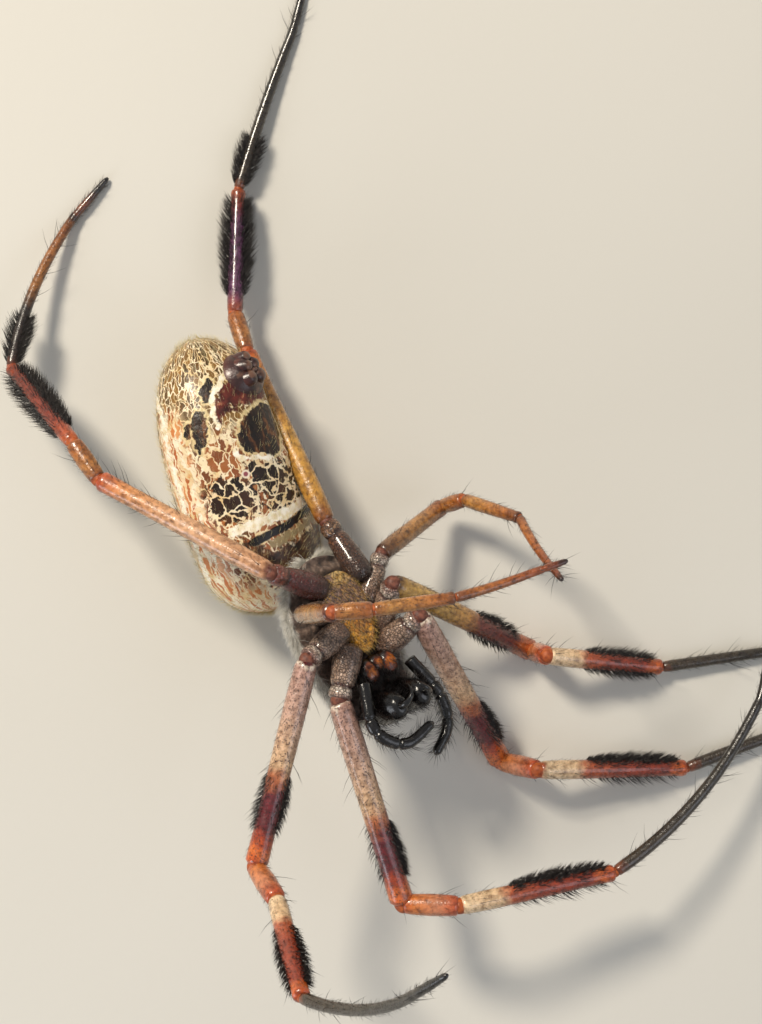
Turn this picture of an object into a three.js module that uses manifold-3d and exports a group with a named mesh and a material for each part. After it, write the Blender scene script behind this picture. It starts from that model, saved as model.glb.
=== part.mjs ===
// Golden silk orb weaver, adult female, resting on her back. Millimetres, +Z up.
// +X and +Y span the floor, and the origin is under the middle of the whole model.
import * as THREE from 'three'
import Module from 'manifold-3d'
import { mergeVertices } from 'three/addons/utils/BufferGeometryUtils.js'

const wasm = await Module()
wasm.setup()

// Shift that brings the middle of the model over the origin.
const SHIFT_X = -7.2
const SHIFT_Y = -3.6

// Gap between two neighbouring pieces, and the size of the slivers that are merged away.
const GAP = 0.3
const SLIVER = 0.004

// Cephalothorax: centre of the sternum, heading of the head, and roll to the right side.
const STERNUM_CENTRE = [-2.1, -6.8, 9.4]
const BODY_HEADING = -64
const BODY_ROLL = 34
const STERNUM_LENGTH = 6.0
const STERNUM_HALF_WIDTH = 1.75
const STERNUM_THICKNESS = 1.4
const CARAPACE_REAR = -4.4
const CARAPACE_FRONT = 7.3
const CARAPACE_HALF_WIDTH = 3.9
const HEAD_HALF_WIDTH = 3.0
const CARAPACE_DEPTH = 3.5
const CARAPACE_TOP = -1.4
const CARAPACE_EDGE = 0.45
const CARAPACE_DIP = { place: 2.2, spread: 0.9, depth: 0.35 }
const HEAD_START = 2.0
const HEAD_FULL = 5.5
const HEAD_RISE = 0.5
const FACE_ROUNDING = 1.3
const BROW_ROUNDING = 2.7
const EYE_RADIUS = 0.27

// Eyes of one side: places along and beside, and below the carapace's upper edge.
const EYES = [[6.95, 0.42, 2.2], [6.6, 0.5, 2.9], [6.45, 1.75, 1.75], [6.2, 1.8, 2.35]]

// Mouth plates: centre along, beside and out of the sternum, then half sizes.
const LABIUM = { centre: [3.95, 0, -0.15], half: [0.7, 0.75, 0.7] }
const MAXILLA = { centre: [4.3, 0.85, -0.15], half: [1.05, 0.8, 0.85] }

// Chelicerae: place, lean, half sizes, length, and size at stations from base to tip.
const CHELICERA_ALONG = 6.65
const CHELICERA_LEAN = 0.45
const CHELICERA_BESIDE = 1.16
const CHELICERA_CLOSING = 0.12
const CHELICERA_HALF = [1.2, 0.96]
const CHELICERA_LENGTH = 3.5
const CHELICERA_SIZES = [
  [0, 0.9], [0.12, 1], [0.35, 1.06], [0.6, 1], [0.82, 0.84], [0.95, 0.62], [1, 0.45]
]
const FANG_BENDS = [[7.1, 1.15, 3.8], [7.0, 0.95, 4.3], [6.5, 0.5, 4.45], [6.0, 0.34, 4.2]]
const FANG_RADIUS = 0.3
const FANG_TAPER = 0.22

// Palps: points along, beside and out. The left one is curled in front of the mouth.
const PALP_BENDS = {
  l: [[4.75, 2.1, 0.8], [7.8, 3.0, 1.0], [9.6, 1.5, 1.3], [9.2, -0.9, 1.9]],
  r: [[4.75, 2.1, 0.8], [7.8, 3.0, 0.9], [10.0, 2.6, 0.7], [11.4, 0.9, 0.3]]
}
const PALP_RADIUS = 0.42
const PALP_TAPER = 0.35

// Abdomen: centre, heading from rear to front, rise to the front, roll and half sizes.
const ABDOMEN_CENTRE = [-10.25, 2.62, 5.0]
const ABDOMEN_HEADING = -72.5
const ABDOMEN_RISE = -5
const ABDOMEN_ROLL = 56
const ABDOMEN_LENGTH = 19.9
const ABDOMEN_HALF_WIDTH = 5.0
const ABDOMEN_HALF_HEIGHT = 4.4
const ABDOMEN_WIDEST = 0.12
const ABDOMEN_REAR_BLUNTNESS = 2.8
const ABDOMEN_FRONT_BLUNTNESS = 3.8
const SPINNERET_PLACE = -6.6
const PEDICEL_RADIUS = 0.75
const STALK_IN_ABDOMEN = 6.7
const STALK_OUT = 3.0
const STALK_IN_CARAPACE = [-2.9, -2.0]

// Dent of the right hind femur in the abdomen: length past the femur, and how far it opens out.
const DENT_MARGIN = 1
const DENT_OPENING = 3.5

// Spinnerets: start and end as along, beside and out, then radii at base and tip.
const SPINNERET_CONE = [[0.25, 0, 0.1], [-0.1, 0, 0.85], 1.35, 0.95]
const SPINNERET_TUBERCLE = [[-0.85, 0, 0.1], [-1.15, 0, 0.85], 0.4, 0.26]
const SPINNERET_PAIRS = [
  [[0.4, 0.5, 0.5], [0.15, 0.32, 1.6], 0.5, 0.26],
  [[-0.5, 0.42, 0.5], [-0.5, 0.3, 1.45], 0.42, 0.26]
]

// Legs: place of each coxa along and beside the sternum, and segment lengths and radii by pair.
const COXA_ALONG = { 1: 3.0, 2: 1.1, 3: -0.9, 4: -2.8 }
const COXA_BESIDE = { 1: 2.1, 2: 2.4, 3: 2.4, 4: 2.0 }
const SEGMENTS = ['coxa', 'femur', 'patella', 'tibia', 'metatarsus', 'tarsus']
const LEG_LENGTHS = {
  1: [2.6, 15.0, 3.9, 11.3, 16.4, 4.0],
  2: [2.5, 14.2, 3.6, 9.2, 13.2, 3.5],
  3: [2.4, 7.5, 2.6, 5.3, 5.3, 2.6],
  4: [3.6, 13.8, 3.2, 9.2, 12.2, 3.9]
}
const LEG_RADII = {
  1: [0.85, 0.88, 0.76, 0.72, 0.44, 0.3],
  2: [0.82, 0.82, 0.74, 0.7, 0.42, 0.29],
  3: [0.7, 0.66, 0.58, 0.5, 0.34, 0.27],
  4: [0.78, 0.74, 0.66, 0.62, 0.42, 0.29]
}

// Pose of each leg: heading and rise in degrees of each segment from the coxa outwards.
const LEG_POSE = {
  L1: [[-101, 14], [-73, -9], [-1, 6], [10, -12], [48, -12], [76, -16]],
  L2: [[-140, 36], [-104, 2], [-48, 50], [-68, 56], [21, 56], [43, 47]],
  L3: [[180, 64], [12, 72], [4, 0], [8, -6], [17, -16], [19, -4]],
  L4: [[160, 42], [152, -12], [126, -12], [133, -35.5], [70.5, -16.8], [50, -3]],
  R1: [[40, 20.4], [-61, -34], [-6, 50], [-1, -15], [19, -1.8], [2, -1]],
  R2: [[72, 32], [-27, -37], [-8, 76], [-7, -22], [8, -3], [4, -2]],
  R3: [[72, -10], [37, -44], [18, 52], [-19, 42], [-62, 52], [-54, 54]],
  R4: [[124, -16], [115.5, -14], [108, -24], [89, -9], [71.5, -4], [75, -2]]
}

// Turn of the metatarsus in its length, in degrees of heading.
const METATARSUS_TURN = { L1: 32, L2: 31, L3: 6, L4: -24, R1: -4, R2: 0, R3: 8, R4: -6 }

// Brushes of stiff hair: segment, start and end along it, and how far the locks stand out.
const BRUSHES = {
  1: [['femur', 0.64, 0.84, 0.7], ['tibia', 0.34, 0.88, 0.65]],
  2: [['femur', 0.58, 0.8, 0.65], ['tibia', 0.34, 0.84, 0.6]],
  3: [],
  4: [['tibia', 0.2, 0.86, 0.9], ['metatarsus', 0.05, 0.28, 0.65]]
}
const LOCK_SPACING = 1.15
const LOCK_WIDTH = 1.1
const LOCK_THICKNESS = 0.55
const LOCK_LEAN = 1.35
const LOCK_SECTIONS = [[-0.45, 0, 1], [0.7, 0.4, 0.85], [1, 1, 0.16]]
const NEAR_FLOOR = 3
const LOCK_ROWS_LOW = [-80, 0, 80]
const LOCK_ROWS_HIGH = [-90, 0, 90]

// Faces used round and along the forms.
const LEG_SIDES = 10
const LEG_STEPS = 5
const BODY_SIDES = 28
const BODY_STEPS = 18
const CARAPACE_STEPS = 15
const STERNUM_STEPS = 10
const SMALL_SIDES = 16
const PALP_STEPS = 14

// Foot: where along it the metatarsus ends, and how its radius runs past that waist.
const FOOT_WAIST = 0.64
const WAIST_SIZE = 1.1
const TARSUS_SIZE = 1.2
const TARSUS_TAPER = 0.3

const COLOURS = {
  coxa: 0x7a5a44,
  femur: 0xb98a78,
  patella: 0xb4492a,
  tibia: 0xa2402a,
  metatarsus: 0x3a3128,
  abdomen: 0xc7a878,
  spinnerets: 0x4a2420,
  pedicel: 0x6b4a36,
  carapace: 0xcfc4ae,
  sternum: 0xc98a34,
  mouthparts: 0x2a1c18,
  chelicera: 0x14110f,
  fang: 0x0f0b0a,
  palp: 0x1a1614
}

const UP = new THREE.Vector3(0, 0, 1)

function direction (heading, rise) {
  const h = THREE.MathUtils.degToRad(heading)
  const r = THREE.MathUtils.degToRad(rise)
  return new THREE.Vector3(Math.cos(h) * Math.cos(r), Math.sin(h) * Math.cos(r), Math.sin(r))
}

// Body frame of an animal lying on its back: forward, to its left, and out of its belly.
function bodyFrame (heading, rise, roll) {
  const forward = direction(heading, rise)
  const level = new THREE.Vector3().crossVectors(forward, UP).normalize()
  const top = new THREE.Vector3().crossVectors(level, forward).normalize()
  const r = THREE.MathUtils.degToRad(roll)
  const left = level.clone().multiplyScalar(Math.cos(r)).addScaledVector(top, Math.sin(r))
  const belly = top.clone().multiplyScalar(Math.cos(r)).addScaledVector(level, -Math.sin(r))
  return { forward, left, belly }
}

function placeIn (frame, centre, along, beside, out) {
  return centre.clone()
    .addScaledVector(frame.forward, along)
    .addScaledVector(frame.left, beside)
    .addScaledVector(frame.belly, out)
}

function signedVolume (positions, indices) {
  let volume = 0
  const [a, b, c] = [new THREE.Vector3(), new THREE.Vector3(), new THREE.Vector3()]
  for (let i = 0; i < indices.length; i += 3) {
    a.fromArray(positions, indices[i] * 3)
    b.fromArray(positions, indices[i + 1] * 3)
    c.fromArray(positions, indices[i + 2] * 3)
    volume += a.dot(b.cross(c))
  }
  return volume
}

// Closed skin over a row of rings with as many points each, with a centre point at both ends.
function loft (rings) {
  const sides = rings[0].length
  const positions = []
  const indices = []
  for (const ring of rings) {
    for (const point of ring) positions.push(point.x, point.y, point.z)
  }
  for (let i = 0; i < rings.length - 1; i++) {
    for (let j = 0; j < sides; j++) {
      const k = (j + 1) % sides
      const [a, b] = [i * sides + j, i * sides + k]
      const [c, d] = [a + sides, b + sides]
      indices.push(a, b, d, a, d, c)
    }
  }
  const ends = [rings[0], rings[rings.length - 1]]
  ends.forEach((ring, end) => {
    const middle = new THREE.Vector3()
    for (const point of ring) middle.addScaledVector(point, 1 / sides)
    const centre = positions.length / 3
    positions.push(middle.x, middle.y, middle.z)
    const base = end * (rings.length - 1) * sides
    for (let j = 0; j < sides; j++) {
      const k = (j + 1) % sides
      if (end) indices.push(base + j, base + k, centre)
      else indices.push(base + k, base + j, centre)
    }
  })
  if (signedVolume(positions, indices) < 0) indices.reverse()
  const geometry = new THREE.BufferGeometry()
  geometry.setAttribute('position', new THREE.Float32BufferAttribute(positions, 3))
  geometry.setIndex(indices)
  return geometry
}

function toSolid (geometry) {
  const bare = geometry.clone()
  bare.deleteAttribute('normal')
  bare.deleteAttribute('uv')
  const merged = mergeVertices(bare, 1e-4)
  return new wasm.Manifold(new wasm.Mesh({
    numProp: 3,
    vertProperties: new Float32Array(merged.attributes.position.array),
    triVerts: new Uint32Array(merged.index.array)
  }))
}

// Geometry of the largest closed body of a solid, without the slivers that its unions leave.
function toGeometry (solid) {
  let largest = null
  for (const piece of solid.decompose()) {
    if (!largest || piece.volume() > largest.volume()) largest = piece
  }
  const mesh = largest.asOriginal().simplify(SLIVER).getMesh()
  const geometry = new THREE.BufferGeometry()
  geometry.setAttribute('position', new THREE.Float32BufferAttribute(mesh.vertProperties, 3))
  geometry.setIndex(Array.from(mesh.triVerts))
  return geometry
}

function joined (geometries) {
  return geometries.map(toSolid).reduce((whole, piece) => whole.add(piece))
}

// Everything below the floor is cut off level, which leaves a small flat to rest on.
const FLOOR_BLOCK = toSolid(new THREE.BoxGeometry(200, 200, 20).translate(0, 0, -10))

const object = new THREE.Group()

function addNode (name, colour, geometry, roughness = 0.5) {
  const material = new THREE.MeshStandardMaterial({ color: colour, roughness, metalness: 0 })
  const mesh = new THREE.Mesh(geometry, material)
  mesh.name = name
  mesh.geometry.computeVertexNormals()
  mesh.position.set(SHIFT_X, SHIFT_Y, 0)
  object.add(mesh)
}

// Slides along the tube that bring a ring's points into a plane, shifted along its normal.
function slidesInto (normal, shift, offsets, along) {
  return offsets.map((offset) => (shift - offset.dot(normal)) / along.dot(normal))
}

// Tube along a path of points. Its ends lie in the given planes, half a gap from the joints.
function tube (path, radiusAt, startNormal, endNormal, sides = LEG_SIDES, gap = GAP) {
  const last = path.length - 1
  const tangents = path.map((point, i) => new THREE.Vector3()
    .subVectors(path[Math.min(i + 1, last)], path[Math.max(i - 1, 0)]).normalize())
  const seed = Math.abs(tangents[0].z) < 0.9 ? UP : new THREE.Vector3(1, 0, 0)
  let side = new THREE.Vector3().crossVectors(seed, tangents[0]).normalize()
  const sections = tangents.map((along, i) => {
    side = side.clone().addScaledVector(along, -side.dot(along)).normalize()
    const other = new THREE.Vector3().crossVectors(along, side)
    return Array.from({ length: sides }, (_, j) => {
      const angle = (j + 0.5) * 2 * Math.PI / sides
      return side.clone().multiplyScalar(Math.cos(angle)).addScaledVector(other, Math.sin(angle))
        .multiplyScalar(radiusAt(i / last))
    })
  })
  const atStart = slidesInto(startNormal, gap / 2, sections[0], tangents[0])
  const atEnd = slidesInto(endNormal, -gap / 2, sections[last], tangents[last])
  const rings = sections.map((section, i) => section.map((offset, j) => {
    const slide = THREE.MathUtils.lerp(atStart[j], atEnd[j], i / last)
    return path[i].clone().add(offset).addScaledVector(tangents[i], slide)
  }))
  return loft(rings)
}

function straightPath (from, to, steps) {
  return Array.from({ length: steps + 1 }, (_, i) => from.clone().lerp(to, i / steps))
}

// Radius along a leg segment: narrower at its ends, with a slight taper.
function segmentRadius (base, tip) {
  return (t) => {
    const rounding = Math.min(t, 1 - t) < 0.04 ? 0.88 : 1
    return (base + (tip - base) * t) * rounding
  }
}

// Flat tapered lock of hair that leans and bends towards the foot. Its root is sunk well in.
function lock (root, outward, along, height, lean) {
  const across = new THREE.Vector3().crossVectors(outward, along).normalize()
  const rings = LOCK_SECTIONS.map(([out, forward, size]) => {
    const centre = root.clone()
      .addScaledVector(outward, out > 0 ? out * height : out)
      .addScaledVector(along, forward * lean)
    const half = along.clone().multiplyScalar(LOCK_WIDTH * size / 2)
    const thick = across.clone().multiplyScalar(LOCK_THICKNESS * size / 2)
    return [
      centre.clone().add(half),
      centre.clone().add(thick),
      centre.clone().sub(half),
      centre.clone().sub(thick)
    ]
  })
  return loft(rings)
}

function brush (path, radiusAt, start, end, height) {
  const last = path.length - 1
  const length = path[0].distanceTo(path[last])
  const count = Math.max(2, Math.round((end - start) * length / LOCK_SPACING))
  const low = path[Math.round(last * start)].z < NEAR_FLOOR || path[last].z < NEAR_FLOOR
  const rows = low ? LOCK_ROWS_LOW : LOCK_ROWS_HIGH
  const locks = []
  rows.forEach((degrees, row) => {
    for (let i = 0; i < count; i++) {
      const t = start + (end - start) * (i + 0.5 * (row % 2)) / count
      const at = Math.min(t * last, last - 0.001)
      const index = Math.floor(at)
      const centre = path[index].clone().lerp(path[index + 1], at - index)
      const along = new THREE.Vector3().subVectors(path[index + 1], path[index]).normalize()
      const level = new THREE.Vector3().crossVectors(along, UP).normalize()
      const top = new THREE.Vector3().crossVectors(level, along).normalize()
      const angle = THREE.MathUtils.degToRad(degrees)
      const outward = top.multiplyScalar(Math.cos(angle)).addScaledVector(level, Math.sin(angle))
      const swell = 0.75 + 0.25 * Math.sin(Math.PI * (i + 0.5) / count)
      const root = centre.addScaledVector(outward, radiusAt(t) * 0.9)
      locks.push(lock(root, outward, along, height * swell, LOCK_LEAN * swell))
    }
  })
  return locks
}

const bodyCentre = new THREE.Vector3(...STERNUM_CENTRE)
const body = bodyFrame(BODY_HEADING, 0, BODY_ROLL)
const abdomenCentre = new THREE.Vector3(...ABDOMEN_CENTRE)
const abdomen = bodyFrame(ABDOMEN_HEADING, ABDOMEN_RISE, ABDOMEN_ROLL)

// Middle points of a leg's joints, from its root beside the sternum to its tip.
function legJoints (leg) {
  const pair = Number(leg[1])
  const side = leg[0] === 'L' ? 1 : -1
  const joints = [placeIn(body, bodyCentre, COXA_ALONG[pair], side * COXA_BESIDE[pair], 0)]
  LEG_POSE[leg].forEach(([heading, rise], i) => {
    const step = direction(heading, rise).multiplyScalar(LEG_LENGTHS[pair][i])
    joints.push(joints[i].clone().add(step))
  })
  return joints
}

// Path of a metatarsus that turns evenly between its two joints.
function turnedPath (from, to, turn, steps) {
  const chord = new THREE.Vector3().subVectors(to, from)
  const sideways = new THREE.Vector3().crossVectors(chord, UP).normalize()
  const sag = chord.length() * Math.tan(THREE.MathUtils.degToRad(turn) / 4) / 2
  return straightPath(from, to, steps).map((point, i) => {
    const t = i / steps
    return point.addScaledVector(sideways, 4 * t * (1 - t) * sag)
  })
}

function legSegment (pair, joints, index, planes) {
  const radius = LEG_RADII[pair][index]
  const tip = (radius * 3 + LEG_RADII[pair][Math.min(index + 1, 5)]) / 4
  const radiusAt = segmentRadius(radius, tip)
  const path = straightPath(joints[index], joints[index + 1], LEG_STEPS)
  const pieces = [tube(path, radiusAt, planes[index], planes[index + 1])]
  for (const [segment, start, end, height] of BRUSHES[pair]) {
    if (segment === SEGMENTS[index]) pieces.push(...brush(path, radiusAt, start, end, height))
  }
  return joined(pieces)
}

// Metatarsus and tarsus in one piece, with a slight waist between them and a claw at the tip.
function foot (leg, pair, joints, planes) {
  const [base, end] = [LEG_RADII[pair][4], LEG_RADII[pair][5]]
  const metatarsus = turnedPath(joints[4], joints[5], METATARSUS_TURN[leg], 8)
  const tarsus = straightPath(joints[5], joints[6], 4)
  const path = [...metatarsus, ...tarsus.slice(1)]
  const radiusAt = (t) => t < FOOT_WAIST
    ? base + (end * WAIST_SIZE - base) * t / FOOT_WAIST
    : end * (TARSUS_SIZE - TARSUS_TAPER * t)
  const tipNormal = new THREE.Vector3().subVectors(joints[6], joints[5]).normalize()
  const pieces = [tube(path, radiusAt, planes[4], tipNormal, 8)]
  for (const [segment, start, stop, height] of BRUSHES[pair]) {
    if (segment === 'metatarsus') {
      pieces.push(...brush(metatarsus, segmentRadius(base, end), start, stop, height))
    }
  }
  return joined(pieces)
}

// Planes of a leg's joints, each half way between the two segments that meet there.
function jointPlanes (leg, joints) {
  const side = leg[0] === 'L' ? 1 : -1
  const headings = joints.slice(1).map((joint, i) => joint.clone().sub(joints[i]).normalize())
  const root = body.left.clone().multiplyScalar(side).add(headings[0]).normalize()
  const turn = THREE.MathUtils.degToRad(METATARSUS_TURN[leg]) / 2
  const footStart = headings[4].clone().applyAxisAngle(UP, -turn)
  const pairs = [headings[0], headings[1], headings[2], headings[3], footStart]
  const planes = [root]
  for (let i = 1; i < 5; i++) planes.push(pairs[i - 1].clone().add(pairs[i]).normalize())
  return planes
}

function addLeg (leg) {
  const pair = Number(leg[1])
  const joints = legJoints(leg)
  const planes = jointPlanes(leg, joints)
  const name = `leg_${leg.toLowerCase()}`
  for (let i = 0; i < 4; i++) {
    const solid = legSegment(pair, joints, i, planes).subtract(FLOOR_BLOCK)
    addNode(`${name}_${SEGMENTS[i]}`, COLOURS[SEGMENTS[i]], toGeometry(solid))
  }
  const end = foot(leg, pair, joints, planes).subtract(FLOOR_BLOCK)
  addNode(`${name}_foot`, COLOURS.metatarsus, toGeometry(end))
  return joints
}

const joints = {}
for (const leg of Object.keys(LEG_POSE)) joints[leg] = addLeg(leg)

// Half size of the abdomen along its length, as a share of its full width.
function abdomenSwell (t) {
  const s = 2 * t - 1 - ABDOMEN_WIDEST
  const bluntness = s < 0 ? ABDOMEN_REAR_BLUNTNESS : ABDOMEN_FRONT_BLUNTNESS
  const reach = s < 0 ? 1 + ABDOMEN_WIDEST : 1 - ABDOMEN_WIDEST
  return Math.sqrt(Math.max(0, 1 - Math.pow(Math.abs(s) / reach, bluntness)))
}

// Right hind femur grown by the gap and drawn outwards, for the dent that it presses in the abdomen.
function femurRoom () {
  const [from, to] = [joints.R4[1], joints.R4[2]]
  const along = new THREE.Vector3().subVectors(to, from).normalize()
  const radius = LEG_RADII[4][1] + GAP
  const start = from.clone().addScaledVector(along, -DENT_MARGIN)
  const path = straightPath(start, to.clone().addScaledVector(along, DENT_MARGIN), 6)
  const room = toSolid(tube(path, () => radius, along, along, 16))
  const outward = from.clone().lerp(to, 0.5).sub(abdomenCentre)
  outward.addScaledVector(abdomen.forward, -outward.dot(abdomen.forward)).setLength(DENT_OPENING)
  return wasm.Manifold.hull([room, room.translate(outward.toArray())])
}

// Skin of the abdomen, grown all over by the given amount.
function abdomenShape (grow) {
  const rings = []
  for (let i = 0; i <= BODY_STEPS; i++) {
    const t = 0.5 - 0.5 * Math.cos(Math.PI * (0.04 + 0.92 * i / BODY_STEPS))
    const swell = abdomenSwell(t)
    const ring = []
    for (let j = 0; j < BODY_SIDES; j++) {
      const angle = 2 * Math.PI * j / BODY_SIDES
      ring.push(placeIn(
        abdomen,
        abdomenCentre,
        (t - 0.5) * (ABDOMEN_LENGTH + 2 * grow),
        Math.cos(angle) * (swell * ABDOMEN_HALF_WIDTH + grow),
        Math.sin(angle) * (swell * ABDOMEN_HALF_HEIGHT + grow)
      ))
    }
    rings.push(ring)
  }
  return loft(rings)
}

// Stalk between the abdomen and the cephalothorax, grown all over by the given amount.
function stalk (grow) {
  const from = placeIn(abdomen, abdomenCentre, STALK_IN_ABDOMEN, 0, STALK_OUT)
  const to = placeIn(body, bodyCentre, STALK_IN_CARAPACE[0], 0, STALK_IN_CARAPACE[1])
  const along = new THREE.Vector3().subVectors(to, from).normalize()
  const start = from.addScaledVector(along, -grow)
  const path = straightPath(start, to, 4)
  return toSolid(tube(path, () => PEDICEL_RADIUS + grow, along, along, 12, 0))
}

// The abdomen lies against the carapace, the stalk and the right hind femur, a gap from each.
function addAbdomen () {
  const solid = toSolid(abdomenShape(0))
    .subtract(femurRoom())
    .subtract(toSolid(carapaceShape(GAP)))
    .subtract(stalk(GAP))
    .subtract(FLOOR_BLOCK)
  addNode('abdomen', COLOURS.abdomen, toGeometry(solid))
}

function cone (from, to, baseRadius, tipRadius, sides) {
  const along = new THREE.Vector3().subVectors(to, from).normalize()
  const radiusAt = (t) => baseRadius + (tipRadius - baseRadius) * t
  return tube(straightPath(from, to, 4), radiusAt, along, along, sides, 0)
}

function addSpinnerets () {
  const t = SPINNERET_PLACE / ABDOMEN_LENGTH + 0.5
  const surface = abdomenSwell(t) * ABDOMEN_HALF_HEIGHT + GAP
  const spot = (side, [along, beside, out]) =>
    placeIn(abdomen, abdomenCentre, SPINNERET_PLACE + along, side * beside, surface + out)
  const coneFrom = ([from, to, base, tip], side, sides) =>
    cone(spot(side, from), spot(side, to), base, tip, sides)
  const pieces = [coneFrom(SPINNERET_CONE, 1, 14), coneFrom(SPINNERET_TUBERCLE, 1, 8)]
  for (const side of [-1, 1]) {
    for (const pair of SPINNERET_PAIRS) pieces.push(coneFrom(pair, side, 8))
  }
  addNode('spinnerets', COLOURS.spinnerets, toGeometry(joined(pieces)), 0.4)
}

// Round end of a form: one up to share 0, nothing at share 1.
function rounding (share, power) {
  return Math.sqrt(Math.max(0, 1 - Math.pow(Math.max(0, share), power)))
}

function frontRounding (along, length, power) {
  return rounding((along - CARAPACE_FRONT + length) / length, power)
}

// Half width of the carapace along its length: round behind, narrower at the head.
function carapaceHalfWidth (along) {
  const blend = THREE.MathUtils.smoothstep(along, HEAD_START, HEAD_FULL)
  const width = THREE.MathUtils.lerp(CARAPACE_HALF_WIDTH, HEAD_HALF_WIDTH, blend)
  return width * rounding(along / CARAPACE_REAR, 2) * frontRounding(along, FACE_ROUNDING, 4)
}

// Depth of the carapace's back: a low dome behind, a dip, and the raised head.
function carapaceDepth (along) {
  const { place, spread, depth } = CARAPACE_DIP
  const dip = depth * Math.exp(-Math.pow((along - place) / spread, 2))
  const slope = THREE.MathUtils.smoothstep(along, 1, 5) * HEAD_RISE
  const full = CARAPACE_DEPTH - HEAD_RISE + slope - dip
  return full * rounding(along / CARAPACE_REAR, 2) * frontRounding(along, BROW_ROUNDING, 3)
}

// Skin of the carapace, grown all over by the given amount.
function carapaceShape (grow) {
  const rings = []
  const length = CARAPACE_FRONT - CARAPACE_REAR
  for (let i = 0; i <= CARAPACE_STEPS; i++) {
    const t = 0.5 - 0.5 * Math.cos(Math.PI * (0.05 + 0.9 * i / CARAPACE_STEPS))
    const along = CARAPACE_REAR + t * length
    const stretched = along + (2 * t - 1) * grow
    const ring = []
    for (let j = 0; j < BODY_SIDES; j++) {
      const angle = 2 * Math.PI * j / BODY_SIDES
      const sine = Math.sin(angle)
      const flank = Math.cos(angle)
      const depth = carapaceDepth(along) + grow
      const out = sine > 0 ? Math.pow(sine, 0.35) * (CARAPACE_EDGE + grow) : sine * depth
      const width = carapaceHalfWidth(along) + grow
      const level = CARAPACE_TOP - CARAPACE_EDGE
      ring.push(placeIn(body, bodyCentre, stretched, flank * width, level + out))
    }
    rings.push(ring)
  }
  return loft(rings)
}

function addCarapace () {
  const pieces = [carapaceShape(0)]
  for (const side of [-1, 1]) {
    for (const [along, beside, below] of EYES) {
      const at = placeIn(body, bodyCentre, along, side * beside, CARAPACE_TOP - below)
      pieces.push(new THREE.SphereGeometry(EYE_RADIUS, 8, 6).translate(at.x, at.y, at.z))
    }
  }
  addNode('carapace', COLOURS.carapace, toGeometry(joined(pieces)), 0.7)
}

// Shield between the legs, widest before its middle and pointed behind.
function addSternum () {
  const rings = []
  for (let i = 0; i <= STERNUM_STEPS; i++) {
    const t = 0.03 + 0.94 * i / STERNUM_STEPS
    const along = (t - 0.5) * STERNUM_LENGTH
    const width = STERNUM_HALF_WIDTH * Math.pow(Math.sin(Math.PI * Math.pow(t, 0.8)), 0.6)
    const bulge = 0.35 * Math.sin(Math.PI * t)
    const ring = []
    for (let j = 0; j < SMALL_SIDES; j++) {
      const angle = 2 * Math.PI * j / SMALL_SIDES
      const out = Math.sin(angle) > 0 ? Math.sin(angle) * (0.1 + bulge)
        : -Math.pow(-Math.sin(angle), 0.4) * (STERNUM_THICKNESS - 0.35)
      ring.push(placeIn(body, bodyCentre, along, Math.cos(angle) * width, out))
    }
    rings.push(ring)
  }
  addNode('sternum', COLOURS.sternum, loft(rings), 0.6)
}

function ellipsoid (side, { centre: [along, beside, out], half: [halfLength, halfWidth, halfDepth] }) {
  const geometry = new THREE.SphereGeometry(1, 12, 8)
  const at = placeIn(body, bodyCentre, along, side * beside, out)
  const matrix = new THREE.Matrix4().makeBasis(
    body.forward.clone().multiplyScalar(halfLength),
    body.left.clone().multiplyScalar(halfWidth),
    body.belly.clone().multiplyScalar(halfDepth)
  ).setPosition(at)
  geometry.applyMatrix4(matrix)
  const merged = geometry.toNonIndexed()
  merged.deleteAttribute('normal')
  merged.deleteAttribute('uv')
  const shape = mergeVertices(merged, 1e-4)
  const indices = Array.from(shape.index.array)
  if (signedVolume(shape.attributes.position.array, indices) < 0) shape.setIndex(indices.reverse())
  return shape
}

function addMouthparts () {
  const pieces = [ellipsoid(1, LABIUM), ellipsoid(1, MAXILLA), ellipsoid(-1, MAXILLA)]
  addNode('mouthparts', COLOURS.mouthparts, toGeometry(joined(pieces)), 0.4)
}

function addChelicera (side, name) {
  const [halfLength, halfWidth] = CHELICERA_HALF
  const rings = CHELICERA_SIZES.map(([t, size]) => {
    const middleAlong = CHELICERA_ALONG + CHELICERA_LEAN * t
    const middleBeside = side * (CHELICERA_BESIDE - CHELICERA_CLOSING * t)
    const out = CARAPACE_TOP + GAP + CHELICERA_LENGTH * t
    const ring = []
    for (let j = 0; j < SMALL_SIDES; j++) {
      const angle = 2 * Math.PI * j / SMALL_SIDES
      const along = middleAlong + Math.cos(angle) * halfLength * size
      const beside = middleBeside + Math.sin(angle) * halfWidth * size
      ring.push(placeIn(body, bodyCentre, along, beside, out))
    }
    return ring
  })
  addNode(`chelicera_${name}`, COLOURS.chelicera, loft(rings), 0.2)
}

function addFang (side, name) {
  const bends = FANG_BENDS.map(([along, beside, out]) =>
    placeIn(body, bodyCentre, along, side * beside, CARAPACE_TOP + GAP + out))
  const path = new THREE.CatmullRomCurve3(bends).getPoints(6)
  const first = path[1].clone().sub(path[0]).normalize()
  const last = path[6].clone().sub(path[5]).normalize()
  const shape = tube(path, (t) => FANG_RADIUS - FANG_TAPER * t, first, last, 8, 0)
  addNode(`fang_${name}`, COLOURS.fang, shape, 0.2)
}

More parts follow.
